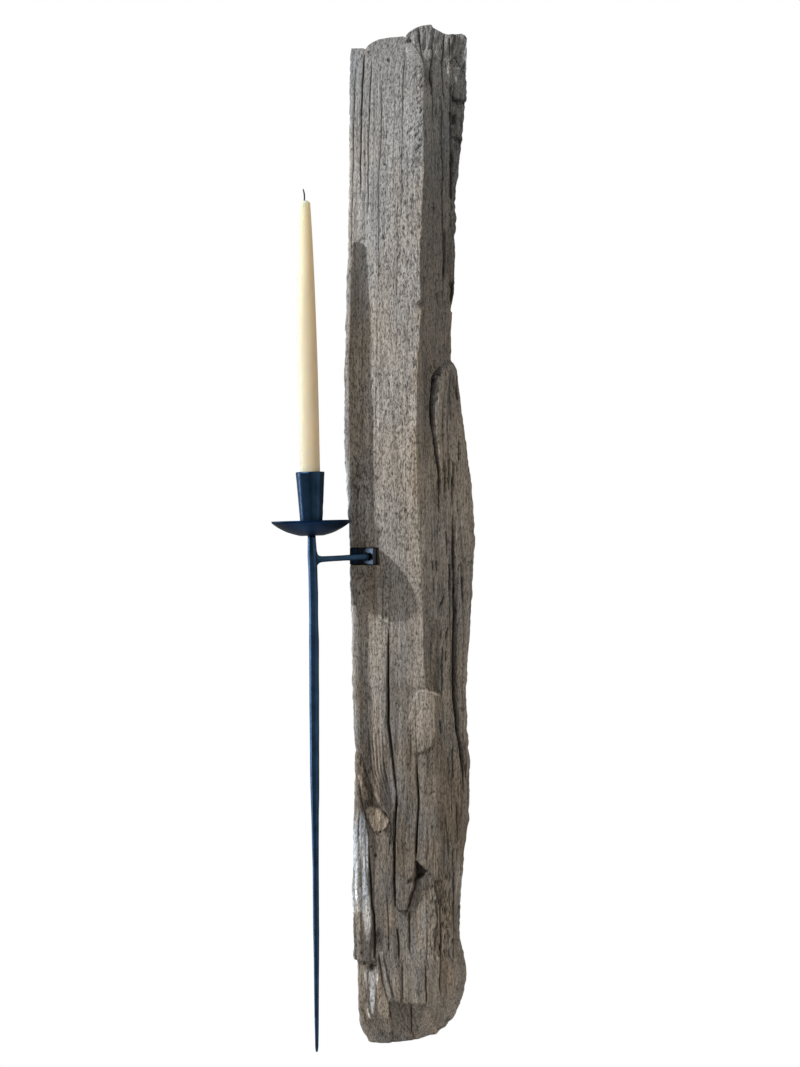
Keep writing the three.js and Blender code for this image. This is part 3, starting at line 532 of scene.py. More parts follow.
def middle(t):
    """Flakes and gashes around and below the notch."""
    t.plate(
        FRONT, 70, 2.8, (-33.8, -57), (-27.6, -57), (-27.6, -92.5), (-33.8, -90.5), shade=1.12,
        ragged=0.4, soft=0.5
    )
    t.plate(
        FRONT, 71, 2.0, (-27.6, -49), (-22.4, -49), (-22.2, -96), (-27.6, -94), shade=1.08, ragged=0.4,
        soft=0.5
    )
    t.crack(FRONT, 72, 1.0, (-28, -49, 0.9), (-28, -93, 0.9))
    t.crack(FRONT, 73, 1.2, (-54, 49, 1.4), (-55.5, 42, 1.6), (-55, 35, 1.2))
    t.dent((-52, 68), 6, 1.4, dark=0.2, stretch=1.6)
    t.dent((-46, 84), 5, 1.1, dark=0.15, stretch=1.4)
    for start, end in (((-60, 82), (-55.5, 74)), ((-55.5, 74), (-57.5, 62)), ((-57.5, 62), (-52, 57)),
                       ((-49, 66), (-45.5, 60)), ((-58, 50), (-54.5, 43)), ((-46, 50), (-44, 42)),
                       ((-58, 96), (-51, 88)), ((-33, 20), (-30.5, 12)), ((-50, -42), (-46.5, -50))):
        t.stroke(FRONT, start, end, 1.4, 1.5, dark=0.75)
    t.stroke(RIGHT, (36.3, -66.5), (29.4, -83.5), 1.7, 2.2, dark=0.8)
    t.stroke(RIGHT, (34.5, -72), (30, -80), 1.2, 1.2, dark=0.6)
    t.cracks(RIGHT, [
        (74, 1.2, (24.5, -28, 1.3), (24.8, -39, 1.1)),
        (75, 1.2, (27.7, -28, 1.2), (28.8, -41, 1.0)),
        (76, 1.5, (39.5, -99, 1.3), (37.9, -113, 1.2)),
        (77, 1.8, (33.7, -118, 0.9), (33.9, -145, 1.6), (34.2, -173, 1.1)),
        (78, 1.4, (36.9, -124, 1.4), (37, -136, 1.2)),
        (79, 1.3, (34.2, -199, 1.4), (34.4, -212, 1.2)),
    ])
    # Lightens the wood where the drip pan's shadow falls: painted light inside the cast shadow.
    t.plate(FRONT, 87, 0, (-38, -20), (2, -22), (8, -60), (4, -96), (-34, -98), shade=1.16, soft=9)
    t.plate(
        FRONT, 88, 0.6, (-46, -110), (-26, -120), (-25, -250), (-33, -262), (-42, -240), (-46, -200),
        shade=1.24, warmth=-0.1, soft=7
    )
    for i, (x, top, bottom) in enumerate(RIGHT_CHECKS):
        t.crack(RIGHT, 160 + i, 1.3, (x, top, 1.3), (x + 1, bottom, 1.1), dark=0.75)
    # Main split of the right face
    t.crack(
        FAR_RIGHT, 80, 5.0, (45.7, 27, 1.1), (47.3, -50, 1.9), (48.4, -93, 2.6),
        (47.3, -136, 3.0), (48.4, -178, 3.3), (49.6, -195, 3.0), (51.6, -211, 2.8), (54.8, -227, 2.6),
        (56.9, -241, 2.4), (58, -254, 2.1), (57.4, -276, 1.5), dark=0.93, sway=0.35
    )
    t.crack(FAR_RIGHT, 81, 1.2, (60.5, -246, 1.2), (61.5, -263, 1.0))
    t.crack(RIGHT, 82, 0.9, (41.5, 20, 0.8), (42.5, -90, 0.9), (43, -190, 0.8), dark=0.5)
    t.crack(FAR_RIGHT, 83, 0.9, (56, 10, 0.9), (57, -120, 1.0), (55, -170, 0.9), dark=0.5)
    # Long recess beside the arris, which ends in a ledge
    t.plate(
        RIGHT, 84, -5.0, (14, -60), (20, -86), (31, -92), (32.5, -170), (17, -165), (14.5, -120),
        shade=0.78, rise=(-60, -150), ragged=0.6
    )
    t.plate(
        BOTH, 85, 2.6, (8, -166), (17, -165), (32, -170), (25, -175), (25.6, -204),
        (26.7, -220), (21, -226), (15, -229), (7, -233), (-2, -200), shade=1.14
    )
    t.plate(RIGHT, 86, -1.4, (25, -173), (34, -171), (38, -215), (29, -222), (26.5, -205), shade=0.85)


def bleach_and_highlight(t, corners, amount, seed):
    """Silvers a patch of the front and the left side in long streaks, partly as a painted bluish
    highlight of the light from the left.
    """
    mask = t.patch(("left", "front"), corners, seed=seed, soft=2.5)
    low, high = min(z for _, z in corners), max(z for _, z in corners)
    mask *= smoothstep(0, 0.14, np.minimum(t.z - low, high - t.z) / (high - low))
    mask *= 1 - t.on("left") * (0.55 + 0.45 * smoothstep(0.95, 0.5, t.share))
    mask *= smoothstep(-0.5, 0.5, lattice(t.around, t.z, 1.9, 45, seed + 20) + 0.3)
    mask *= 0.75 + 0.4 * lattice(t.around, t.z, 1.3, 14, seed + 30)
    t.shade *= 1 + amount * mask
    t.warmth -= 1.1 * mask


# One line of grain as it bends round the knot: x, its share of the spacing, z and share of width
FLOW_LINE = [(-44.5, 1.1, -205, 0.7), (-40.5, 1, -250, 1.3), (-33, 0.85, -275, 1.3),
             (-22.5, 0.45, -296, 1.0), (-20.2, 0.25, -312, 0.8), (-23, 0.4, -345, 0.4)]


def lower(t):
    """Knot, overlapping slabs and ledges of the worn lower end."""
    t.crack(
        FRONT, 90, 5.5, (-22.4, -96, 1.2), (-23, -123, 1.6), (-23, -200, 2.4), (-18.5, -232, 2.7),
        (-15.6, -259, 2.5), (-13.3, -279, 2.2), dark=0.88, sway=0.2
    )
    slab_a = [(-21, -150), (-20.6, -218), (-19, -232), (-15.9, -259), (-12.7, -281), (-14.8, -313),
              (-15.4, -366), (-14.4, -391), (-10.5, -398.5), (-3.5, -398), (-0.5, -391), (1.6, -379),
              (4, -375), (4.7, -363), (6.6, -348), (6.9, -330), (9, -290), (6.6, -252), (6, -150)]
    t.plate(FRONT, 91, 5.5, *slab_a, shade=0.98, rise=(-150, -330), ragged=0.5)
    t.crack(
        FRONT, 92, 5.0, (-13.0, -272, 2.4), (-14.8, -298, 2.4), (-15.6, -329, 2.3), (-15.8, -360, 2.2),
        (-15.6, -397, 2.0), dark=0.9, sway=0.15
    )
    slab_b = [(9, -230), (9.8, -281), (8, -329), (7, -345), (17, -357), (29, -370), (34, -359),
              (42, -343), (46, -290), (44, -230)]
    t.plate(BOTH, 93, 4.2, *slab_b, shade=0.97, rise=(-235, -335), ragged=0.9)
    t.crack(
        BOTH, 94, 2.8, (6.6, -240, 0.8), (9.5, -281, 1.9), (6.8, -329, 1.8), (6.3, -347, 1.8), sway=0.2
    )
    # A dark hole under the end of slab B, and a softer darkening below it: painted shadow of the slab's
    # end.
    t.plate(
        BOTH, 95, -5.0, (6.2, -345), (18.5, -356.5), (15, -361), (5.6, -366), shade=0.3, ragged=0.4,
        soft=2.5
    )
    t.plate(BOTH, 89, -1.5, (6, -360), (20, -358), (24, -378), (8, -396), shade=0.72, soft=9)
    t.crack(
        FRONT, 103, 2.0, (5.6, -362, 1.2), (4.8, -375, 1.8), (1.6, -381, 1.8), (-0.4, -391, 1.8),
        (-2.4, -397, 1.4), dark=0.8, sway=0.1
    )
    t.stroke(FRONT, (-3, -398.5), (-11, -399.5), 1.8, 1.5, dark=0.8)
    t.stroke(FRONT, (-11, -399.5), (-15.5, -392), 1.8, 1.5, dark=0.8)
    t.plate(FRONT, 96, -2.5, (-2, -365), (4.5, -363), (4.5, -369), (-1.8, -369), shade=0.6, ragged=0.2)
    t.plate(
        BOTH, 97, -1.2, (6, -380), (24, -372), (24, -440), (6, -440), shade=1.28, warmth=0.25, soft=4
    )
    t.cracks(FRONT, [
        (98, 2.4, (-1, -399, 2.2), (-0.5, -445, 1.8)),
        (99, 2.2, (-13, -417, 2.0), (-12, -452, 1.6)),
        (100, 1.4, (-24, -380, 1.2), (-22, -450, 1.2)),
    ])
    speckle = t.patch(RIGHT, [(22, -372), (44, -357), (46, -455), (24, -455)], seed=101, soft=8)
    rough = lattice(t.around, t.z, 1.8, 5, 102)
    t.relief += 1.5 * rough * speckle
    t.shade *= 1 + speckle * (0.75 * rough - 0.05)

    # Broken knot with a tan tongue below it
    knot = [(-59.5, -216), (-53, -231), (-47.5, -247), (-42, -263), (-37.5, -277), (-31, -291),
            (-22, -302), (-23, -308), (-32, -316), (-39, -314), (-45, -305), (-50, -294), (-55, -278),
            (-58, -258), (-60.5, -239)]
    hollow = t.plate(FRONT, 110, -4.2, *knot, shade=0.62, warmth=0.8, ragged=0.5, soft=1.4)
    fibre = lattice(t.around + 0.35 * t.z, t.z - 0.5 * t.around, 2.4, 14, 111)
    t.relief += 1.5 * fibre * hollow
    t.shade *= 1 + 0.4 * fibre * hollow
    tongue = [(-49, -294), (-43.5, -290), (-38, -289.5), (-32, -294), (-26, -300), (-22, -304),
              (-24, -309.5), (-28.5, -314), (-33, -316), (-37.5, -315), (-42.5, -309), (-46, -302)]
    t.plate(FRONT, 112, 5.5, *tongue, shade=2.5, warmth=0.5, rise=(-284, -306), ragged=0.2, soft=0.7)
    t.plate(
        FRONT, 118, 2.2, (-57.5, -258), (-52.5, -255), (-47, -269), (-44, -285), (-50, -282),
        (-54.5, -270), shade=2.2, soft=2
    )
    t.plate(FRONT, 119, 1.0, (-42, -272), (-37, -276), (-32, -287), (-38, -287), shade=1.5, soft=3)
    t.crack(FRONT, 117, 1.6, (-58.5, -222, 1.2), (-50, -240, 2.6), (-46.5, -256, 1.6), dark=0.6)
    for i, (dx, width) in enumerate([(0, 1.6), (3.4, 1.2), (6.8, 1.6), (10.4, 1.2), (13.6, 1.3)]):
        path = [(x + spread * dx, z, width * share) for x, spread, z, share in FLOW_LINE]
        t.crack(FRONT, 113 + i, 1.5, *path, dark=0.55, sway=0.25)

    # Left slab, its end, and what lies under it
    t.plate(
        FRONT, 120, 3.4, (-70, -318), (-45, -318), (-43.8, -345), (-41.8, -375), (-40.9, -395),
        (-38.9, -404), (-38.2, -430), (-37.4, -453.5), (-70, -453), shade=1.1, rise=(-318, -400),
        ragged=0.5, soft=0.5
    )
    t.crack(
        FRONT, 121, 4.2, (-44.6, -318, 1.0), (-43.6, -345, 1.5), (-41.6, -375, 1.8),
        (-40.7, -395, 2.0), (-38.6, -404, 2.2), (-38, -430, 2.6), (-37.4, -453, 2.6), dark=0.88,
        sway=0.2
    )
    t.crack(FRONT, 122, 1.2, (-52, -340, 0.9), (-50.5, -448, 1.1), dark=0.5)
    t.crack(FRONT, 123, 1.0, (-57, -300, 0.9), (-56, -440, 1.0), dark=0.45)
    # Silvered streaks on the left slab; their pale blue is partly a painted highlight of the light from
    # the left.
    bleach_and_highlight(t, [(-61, -290), (-50, -290), (-44, -330), (-45.5, -372), (-41.5, -390), (-41, -432),
               (-46, -436), (-50, -400), (-61, -405)], 2.6, 140)
    bleach_and_highlight(t, [(-60, -288), (-50, -288), (-44.5, -330), (-45, -380), (-60, -396)], 1.1, 144)
    # These run along the left edge: mostly a painted bluish highlight of the light from the left, with
    # some silvering.
    bleach_and_highlight(t, [(-66, 330), (-66, 20), (-80, 20), (-80, 330)], 0.1, 143)
    bleach_and_highlight(t, [(-62, 110), (-60, -300), (-58, -330), (-60, -452), (-80, -452), (-80, 110)], 0.9, 141)
    t.dent((-36.8, -341.5), 2.4, 2.0, dark=0.7, stretch=1.3, faces=FRONT)
    t.dent((-41.2, -332), 1.8, 1.4, dark=0.6, faces=FRONT)
    t.dent((-41, -460.5), 3.4, 3.4, dark=0.8, stretch=1.6, faces=FRONT)
    t.dent((-32.5, -429), 6, 1.8, dark=0.4, stretch=2.4, faces=FRONT)
    t.plate(FRONT, 124, 1.6, (-48.6, -458), (-36, -460), (-37, -516), (-46, -517), shade=1.2, soft=0.6)
    bleach_and_highlight(t, [(-48.8, -459), (-42, -458), (-35, -461), (-34.2, -473), (-37, -490), (-39, -512),
               (-42, -518), (-46, -512), (-45, -490), (-48, -473)], 3.0, 142)
    t.plate(
        FRONT, 125, 2.2, (-33, -443), (-28.5, -443), (-17, -493), (-20.5, -498), (-25, -480),
        shade=1.15, warmth=-0.35, ragged=0.5
    )
    t.crack(FRONT, 126, 1.8, (-28, -446, 1.6), (-22, -475, 1.8), (-17, -494, 1.4), sway=0.2)
    t.crack(FRONT, 127, 1.8, (-33, -446, 1.6), (-29, -476, 1.8), (-22, -500, 1.4), sway=0.2)

    # The end below the last ledge lies deeper
    before = t.relief.copy()
    t.plate(
        ('left', 'front', 'right'), 130, -4.0, (-21, -493), (-12, -497.5), (-5, -499.5), (2, -498),
        (14, -498), (24, -504), (31, -499), (42, -492), (54, -480), (90, -470), (90, -560),
        (-21, -560), shade=0.86, ragged=0.8, soft=0.5
    )
    t.relief = before + (t.relief - before) * off_right_edge(t)
    t.plate(FRONT, 131, 1.2, (-39, -496), (-21.5, -495), (-21, -516), (-38, -514), shade=1.15)
    t.cracks(BOTH, [
        (132, 1.8, (-21.7, -494, 1.6), (-21.5, -516, 1.2)),
        (133, 1.8, (0.5, -500, 1.7), (1, -532, 1.2)),
        (134, 1.6, (17, -455, 1.2), (17.5, -498, 1.5)),
    ])
    t.crack(RIGHT, 135, 1.4, (30, -380, 1.2), (33, -430, 1.3), (32, -492, 1.2))
    t.crack(FAR_RIGHT, 136, 1.5, (46, -300, 1.0), (47, -380, 1.4), (45, -470, 1.1))
    t.crack(FRONT, 137, 1.6, (-9, -455, 1.5), (-8, -497, 1.2))


for shape in (weather, height_tones, upper_front, upper_right, sliver, middle, lower):
    shape(timber)


# ---- Timber: mesh ---------------------------------------------------------------------------


def timber_points(t):
    """All points of the closed timber surface in millimetres, row by row upwards."""
    along = np.roll(t.plan, -1, axis=1) - np.roll(t.plan, 1, axis=1)
    along /= np.linalg.norm(along, axis=2, keepdims=True) + 1e-9
    plan = t.plan + np.stack([along[..., 1], -along[..., 0]], axis=-1) * t.relief[..., None]
    plan[..., 1] = np.minimum(plan[..., 1], 0)
    return np.concatenate([plan, t.z[..., None]], axis=2)


def end_rings(ring, outline, inward, seed):
    """Rings that close one end of the timber, from its edge to its middle."""
    share = (np.arange(1, END_RINGS + 1) / (END_RINGS + 1))[:, None]
    plan = ring[None, :, :2] + (np.array(SECTION_MIDDLE_MM) - ring[None, :, :2]) * share[..., None]
    x, y = plan[..., 0], plan[..., 1]
    rough = lattice(x, y, 5, 5, seed) + 0.6 * lattice(x, y, 2, 2, seed + 1)
    rough = np.minimum(rough, 0.6) if inward < 0 else np.maximum(rough, -0.6)
    level = outline_height(outline, x) + inward * smoothstep(0, 0.3, share)
    return np.stack([x, y, level + 2 * rough * smoothstep(0, 0.2, share)], axis=-1)


def end_tone(rings, seed):
    """Growth rings round the pith, and dark checks that run out from it."""
    x, y = rings[..., 0] - PITH_MM[0], rings[..., 1] - PITH_MM[1]
    drift = 1.4 * lattice(x, y, 16, 16, seed)
    growth = np.sin(2 * math.pi * np.hypot(x, y) / GROWTH_RING_MM + drift)
    checks = smoothstep(0.62, 0.9, wander(np.arctan2(y, x) * 14, 1, seed + 1))
    checks *= smoothstep(6, 16, np.hypot(x, y))
    tone = np.ones(rings.shape) * np.array([0.74, 0.4, 0])
    tone[..., 0] *= (1 + 0.13 * growth) * (1 - 0.5 * checks)
    return tone


def build_timber(t, material):
    points = timber_points(t)
    columns = points.shape[1]
    below = end_rings(points[0], BOTTOM_OUTLINE, 3.0, 200)[::-1]
    above = end_rings(points[-1], TOP_OUTLINE, -2.5, 210)
    rows = np.concatenate([below, points, above])
    flat = rows.reshape(-1, 3)
    faces = ring_faces(len(rows), columns)
    low_middle, high_middle = len(flat), len(flat) + 1
    faces += [[low_middle, (j + 1) % columns, j] for j in range(columns)]
    last = (len(rows) - 1) * columns
    faces += [[high_middle, last + j, last + (j + 1) % columns] for j in range(columns)]
    middles = [rows[0].mean(axis=0), rows[-1].mean(axis=0)]
    flat = np.concatenate([flat, middles]) * MM
    tone = np.stack([t.shade, np.clip(t.warmth, -0.6, 1.4), 0.5 * np.clip(t.grit, 0, 1)], axis=-1)
    tone = np.concatenate([end_tone(below, 220), tone, end_tone(above, 230)]).reshape(-1, 3)
    tone = np.concatenate([tone, np.ones((2, 3)) * np.array([0.7, 0.4, 0])])
    piece = add_mesh("weathered_timber", flat, faces, material)
    set_tone(piece.data, tone)
    return piece


def prism(name, plan, low, high, axis="Z"):
    """A closed tool: a plan outline in millimetres between two levels along an axis."""
    count = len(plan)
    points = [(x, y, level) for level in (low, high) for x, y in plan]
    if axis == "Y":
        points = [(x, z, y) for x, y, z in points]
    faces = [list(range(count))[::-1], list(range(count, 2 * count))]
    faces += [[i, (i + 1) % count, count + (i + 1) % count, count + i] for i in range(count)]
    if axis == "Y":
        faces = [face[::-1] for face in faces]
    mesh = bpy.data.meshes.new(name)
    mesh.from_pydata([tuple(c * MM for c in point) for point in points], [], faces)
    set_tone(mesh, np.ones((2 * count, 3)) * np.array([0.8, 0.6, 1.0]))
    return add_object(name, mesh)


def circle(x, z, radius, count=24):
    turns = [2 * math.pi * i / count for i in range(count)]
    return [(x + radius * math.cos(turn), z + radius * math.sin(turn)) for turn in turns]


def capsule(z, half_width, half_height, count=10):
    """A slot outline about x = 0, with round ends."""
    straight = half_height - half_width
    arc = [math.pi * i / count for i in range(count + 1)]
    upper = [(half_width * math.cos(a), z + straight + half_width * math.sin(a)) for a in arc]
    lower_half = [(-half_width * math.cos(a), z - straight - half_width * math.sin(a)) for a in arc]
    return upper + lower_half


def cut_out(piece, tools):
    for tool in tools:
        modifier = piece.modifiers.new("cut", "BOOLEAN")
        modifier.operation = "DIFFERENCE"
        modifier.solver = "MANIFOLD"
        modifier.object = tool
    bpy.context.view_layer.update()
    depsgraph = bpy.context.evaluated_depsgraph_get()
    cut_mesh = bpy.data.meshes.new_from_object(piece.evaluated_get(depsgraph))
    piece.modifiers.clear()
    whole = piece.data
    piece.data = cut_mesh
    bpy.data.meshes.remove(whole)
    for tool in tools:
        bpy.data.objects.remove(tool)


ARM_YAW = math.radians(35)
GAP_MM = 0.3
NOTCH_MIDDLE_MM, NOTCH_HEIGHT_MM = -24.1, 18.6
HANGER_HEIGHTS_MM = (330, -330)
PLATE_HALF_WIDTH_MM, PLATE_HALF_HEIGHT_MM = 9, 25
BRACKET_SCREW_PLACES_MM = [(-58.3, NOTCH_MIDDLE_MM + 4.9), (-58.3, NOTCH_MIDDLE_MM - 4.9)]


def timber_tools():
    """Everything the timber is cut for: the notch, the screw holes and the hangers' beds."""
    half = NOTCH_HEIGHT_MM / 2
    # In plan: the notch's back wall, and the wall behind the strap's leg
    leg_direction = Vector((math.sin(ARM_YAW), -math.cos(ARM_YAW)))
    leg_tip = Vector((-39.5, -83.5))
    behind = leg_tip + Vector((math.cos(ARM_YAW), math.sin(ARM_YAW))) * 6.0
    back_y, front_y = -63.3, -130.0
    corner = behind + leg_direction * ((back_y - behind.y) / leg_direction.y)
    front = behind + leg_direction * ((front_y - behind.y) / leg_direction.y)
    plan = [(-130, back_y), (-130, front_y), tuple(front), tuple(corner)]
    tools = [prism("notch", plan, NOTCH_MIDDLE_MM - half, NOTCH_MIDDLE_MM + half)]
    for x, z in BRACKET_SCREW_PLACES_MM:
        tools.append(prism("pilot", circle(x, z, 2.1), -66, -43, axis="Y"))
    for height in HANGER_HEIGHTS_MM:
        bed = capsule(height, PLATE_HALF_WIDTH_MM + GAP_MM, PLATE_HALF_HEIGHT_MM + GAP_MM)
        tools.append(prism("bed", bed, -2.5, 2, axis="Y"))
        pocket = [(-6, height - 12.5), (6, height - 12.5), (6, height + 12.5), (-6, height + 12.5)]
        tools.append(prism("pocket", pocket, -10, 2, axis="Y"))
        for side in (1, -1):
            pilot = circle(0, height + side * 19.5, 2.0)
            tools.append(prism("pilot", pilot, -16.5, 2, axis="Y"))
    return tools


# ---- Materials ------------------------------------------------------------------------------


class Shader:
    """A material whose nodes are added by name."""

    def __init__(self, name):
        self.material = bpy.data.materials.new(name)
        self.material.use_nodes = True
        self.tree = self.material.node_tree
        self.surface = self.tree.nodes["Principled BSDF"]

    def set(self, **values):
        for name, value in values.items():
            self.link(self.surface.inputs[name.replace("_", " ")], value)

    def link(self, socket, value):
        if isinstance(value, bpy.types.NodeSocket):
            self.tree.links.new(value, socket)
        else:
            socket.default_value = value

    def add(self, kind, inputs, output=0, **settings):
        node = self.tree.nodes.new("ShaderNode" + kind)
        for name, value in settings.items():
            setattr(node, name, value)
        for name, value in inputs.items():
            self.link(node.inputs[name], value)
        return node.outputs[output]

    def coordinates(self, scale):
        place = self.add("TexCoord", {}, output="Object")
        return self.add("Mapping", {"Vector": place, "Scale": scale})

    def noise(self, stretch, scale, detail=4.0, roughness=0.55):
        inputs = {"Vector": self.coordinates(stretch), "Scale": scale, "Detail": detail,
                  "Roughness": roughness}
        return self.add("TexNoise", inputs)

    def span(self, value, low, high, start=0.0, end=1.0):
        """Maps low..high of a value to start..end."""
        inputs = {"Value": value, "From Min": low, "From Max": high, "To Min": start, "To Max": end}
        return self.add("MapRange", inputs)

    def math(self, operation, first, second):
        return self.add("Math", {0: first, 1: second}, operation=operation)

    def mix(self, share, first, second, blend="MIX"):
        inputs = {"Factor": share, 6: first, 7: second}
        return self.add("Mix", inputs, output=2, data_type="RGBA", blend_type=blend)

    def bump(self, height, distance, strength=1.0):
        return self.add("Bump", {"Height": height, "Distance": distance, "Strength": strength})


def wood_material():
    """Grey weathered wood. The mesh's tone gives shade, warmth, and grit or a fresh cut."""
    s = Shader("weathered_wood")
    tone = s.add("Attribute", {}, attribute_name="tone")
    parts = s.tree.nodes.new("ShaderNodeSeparateColor")
    s.link(parts.inputs[0], tone)
    shade, warmth, surface = parts.outputs
    grit, cut = s.span(surface, 0.0, 0.5), s.span(surface, 0.6, 0.9)
    fibre = s.noise((1, 1, 0.05), 560, detail=5, roughness=0.62)
    grain = s.noise((1, 1, 0.36), 760, detail=4, roughness=0.7)
    dash = s.noise((1, 1, 0.28), 800, detail=3, roughness=0.6)
    vein = s.noise((1, 1, 0.02), 330, detail=3, roughness=0.5)
    cloud = s.noise((1, 1, 0.35), 26, detail=3)
    cool = s.mix(s.span(fibre, 0.32, 0.68), (0.27, 0.272, 0.276, 1), (0.42, 0.42, 0.42, 1))
    warm = s.mix(s.span(fibre, 0.32, 0.68), (0.26, 0.212, 0.164, 1), (0.45, 0.38, 0.302, 1))
    warmth = s.math("ADD", warmth, s.span(cloud, 0.3, 0.7, -0.18, 0.18))
    # Pale bluish grey: silvered wood, also used as painted highlight of the bluish light from the left.
    silver_and_highlight = s.mix(s.span(fibre, 0.32, 0.68), (0.27, 0.292, 0.325, 1), (0.41, 0.437, 0.475, 1))
    base = s.mix(s.span(warmth, 0.0, 1.0), cool, warm)
    base = s.mix(s.span(warmth, -0.1, -0.5), base, silver_and_highlight)
    speckle = s.span(grain, 0.36, 0.53, -0.7, 0.2)
    speckle = s.math("MULTIPLY", speckle, s.span(grit, 0.0, 1.0, 0.35, 1.0))
    dark = s.math("ADD", speckle, 1.0)
    for factor in (s.span(dash, 0.37, 0.46, 0.42, 1.0), s.span(vein, 0.36, 0.50, 0.78, 1.0),
                   s.span(cloud, 0.3, 0.7, 0.90, 1.08), shade):
        dark = s.math("MULTIPLY", dark, factor)
    grey = s.add("CombineColor", {0: dark, 1: dark, 2: dark})
    weathered = s.mix(1.0, base, grey, blend="MULTIPLY")
    saw = s.noise((1, 1, 1), 240, detail=2)
    fresh = s.mix(s.span(saw, 0.35, 0.65), (0.10, 0.075, 0.052, 1), (0.17, 0.13, 0.092, 1))
    s.set(Base_Color=s.mix(cut, weathered, fresh), Roughness=s.span(fibre, 0.3, 0.7, 0.95, 0.78))
    relief = s.math("ADD", s.math("MULTIPLY", dash, 0.6), s.math("MULTIPLY", grain, 1.2))
    s.set(Normal=s.bump(s.math("ADD", relief, fibre), 0.0009, 0.8), Specular_IOR_Level=0.25)
    return s.material


EVEN = (1, 1, 1)


def two_tone(name, patches, fine, edges, colours, roughness, bump, **surface):
    """Two blending tones in patches, with a fine grain in the bump and, as a range, the gloss."""
    s = Shader(name)
    fine = s.noise(*fine)
    patches = s.noise(*patches) if patches else fine
    if isinstance(roughness, tuple):
        roughness = s.span(fine, 0.3, 0.7, *roughness)
    colour = s.mix(s.span(patches, *edges), *[(*tone, 1) for tone in colours])
    s.set(Base_Color=colour, Roughness=roughness, Normal=s.bump(fine, *bump), **surface)
    return s.material


def iron_material(name, colour, roughness, scale):
    """Blackened forged iron with soft scale and hammer shine."""
    tones = [tuple(c * share for c in colour) for share in (0.75, 1.3)]
    return two_tone(name, (EVEN, scale / 9, 3), (EVEN, scale, 5, 0.6), (0.3, 0.7), tones,
                    (roughness - 0.07, roughness + 0.07), (0.00025, 0.5), Metallic=1.0)


# Near-black iron tinted blue: the blue is painted reflection of a bluish surround.
IRON_BLUE_REFLECTION = (0.018, 0.042, 0.082)
wood = wood_material()
cup_iron = iron_material("hammered_iron", IRON_BLUE_REFLECTION, 0.42, 420)
# Bluer still, against the warm room light it reflects: more painted blue reflection.
pan_iron = iron_material("beaten_iron", (0.006, 0.028, 0.082), 0.40, 420)
bar_iron = iron_material("forged_iron", tuple(c * 1.3 for c in IRON_BLUE_REFLECTION), 0.46, 520)
# Darker and greyer than the other iron: partly a duller strap, partly painted shade of the notch it sits
# in.
strap_iron = iron_material("strap_iron", (0.026, 0.034, 0.048), 0.36, 700)
screw_iron = iron_material("screw_iron", tuple(c * 1.1 for c in IRON_BLUE_REFLECTION), 0.34, 900)
wax = two_tone(
    "ivory_wax", ((1, 1, 0.3), 70, 3), ((1, 1, 0.2), 500, 3), (0.3, 0.7),
    [(0.515, 0.485, 0.38), (0.56, 0.53, 0.42)], (0.5, 0.6), (0.00008, 0.5), Subsurface_Weight=1.0,
    Subsurface_Radius=(1.0, 0.62, 0.34), Subsurface_Scale=0.045, Specular_IOR_Level=0.35,
)
wick = two_tone("burnt_wick", None, (EVEN, 1800, 4), (0.35, 0.65),
                [(0.012, 0.010, 0.009), (0.05, 0.042, 0.036)], 0.95, (0.0002, 0.8))
zinc = two_tone("zinc_steel", (EVEN, 160, 2), ((1, 1, 0.04), 1400, 3), (0.35, 0.65),
                [(0.40, 0.41, 0.42), (0.56, 0.57, 0.58)], (0.32, 0.5), (0.0001, 0.4), Metallic=1.0)
pale_floor = two_tone("pale_floor", None, (EVEN, 60, 4), (0.3, 0.7),
                      [(0.86, 0.86, 0.855), (0.90, 0.90, 0.895)], 0.8, (0.0004, 0.3))


# ---- Timber piece ---------------------------------------------------------------------------

timber_piece = build_timber(timber, wood)
cut_out(timber_piece, timber_tools())
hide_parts("timber_beam")


# ---- Iron -----------------------------------------------------------------------------------

SEAT_MM = Vector((-102.4, -116.4, -2.4))
HEAD_LEAN = math.radians(-1.5)
CANDLE_BASE_MM = Vector((-103.6, -116.4, 41.8))
CANDLE_LEAN = math.radians(-1.2)


def placed(points, origin, lean):
    """Points of a leaning frame, in metres in the row frame."""
    place = Matrix.Translation(origin) @ Matrix.Rotation(lean, 4, "Y")
    matrix = np.array(place)
    return (np.asarray(points) @ matrix[:3, :3].T + matrix[:3, 3]) * MM


def turned(profile, segments):
    """Points and quads of a closed profile of (radius, height) turned about Z."""
    profile = np.array(profile, float)
    turns = np.arange(segments) / segments * 2 * math.pi
    radius = profile[:, None, 0]
    points = np.stack(
        [radius * np.cos(turns), radius * np.sin(turns), profile[:, None, 1] + 0 * turns], axis=-1
    )
    return points, ring_faces(len(profile), segments, closed_rows=True)


def refined(corners, step):
    """The corners of a profile with points added between them, at most a step apart."""
    line = []
    for start, end in zip(corners, corners[1:]):
        count = max(1, math.ceil(math.dist(start, end) / step))
        line += [
            tuple(a + (b - a) * i / count for a, b in zip(start, end)) for i in range(count)
        ]
    return line + [corners[-1]]


CUP_BOTTOM_MM, CUP_RIM_MM = 2.1, 66.4
TENON_HOLE_MM = 3.8
CUP_SEGMENTS = 112


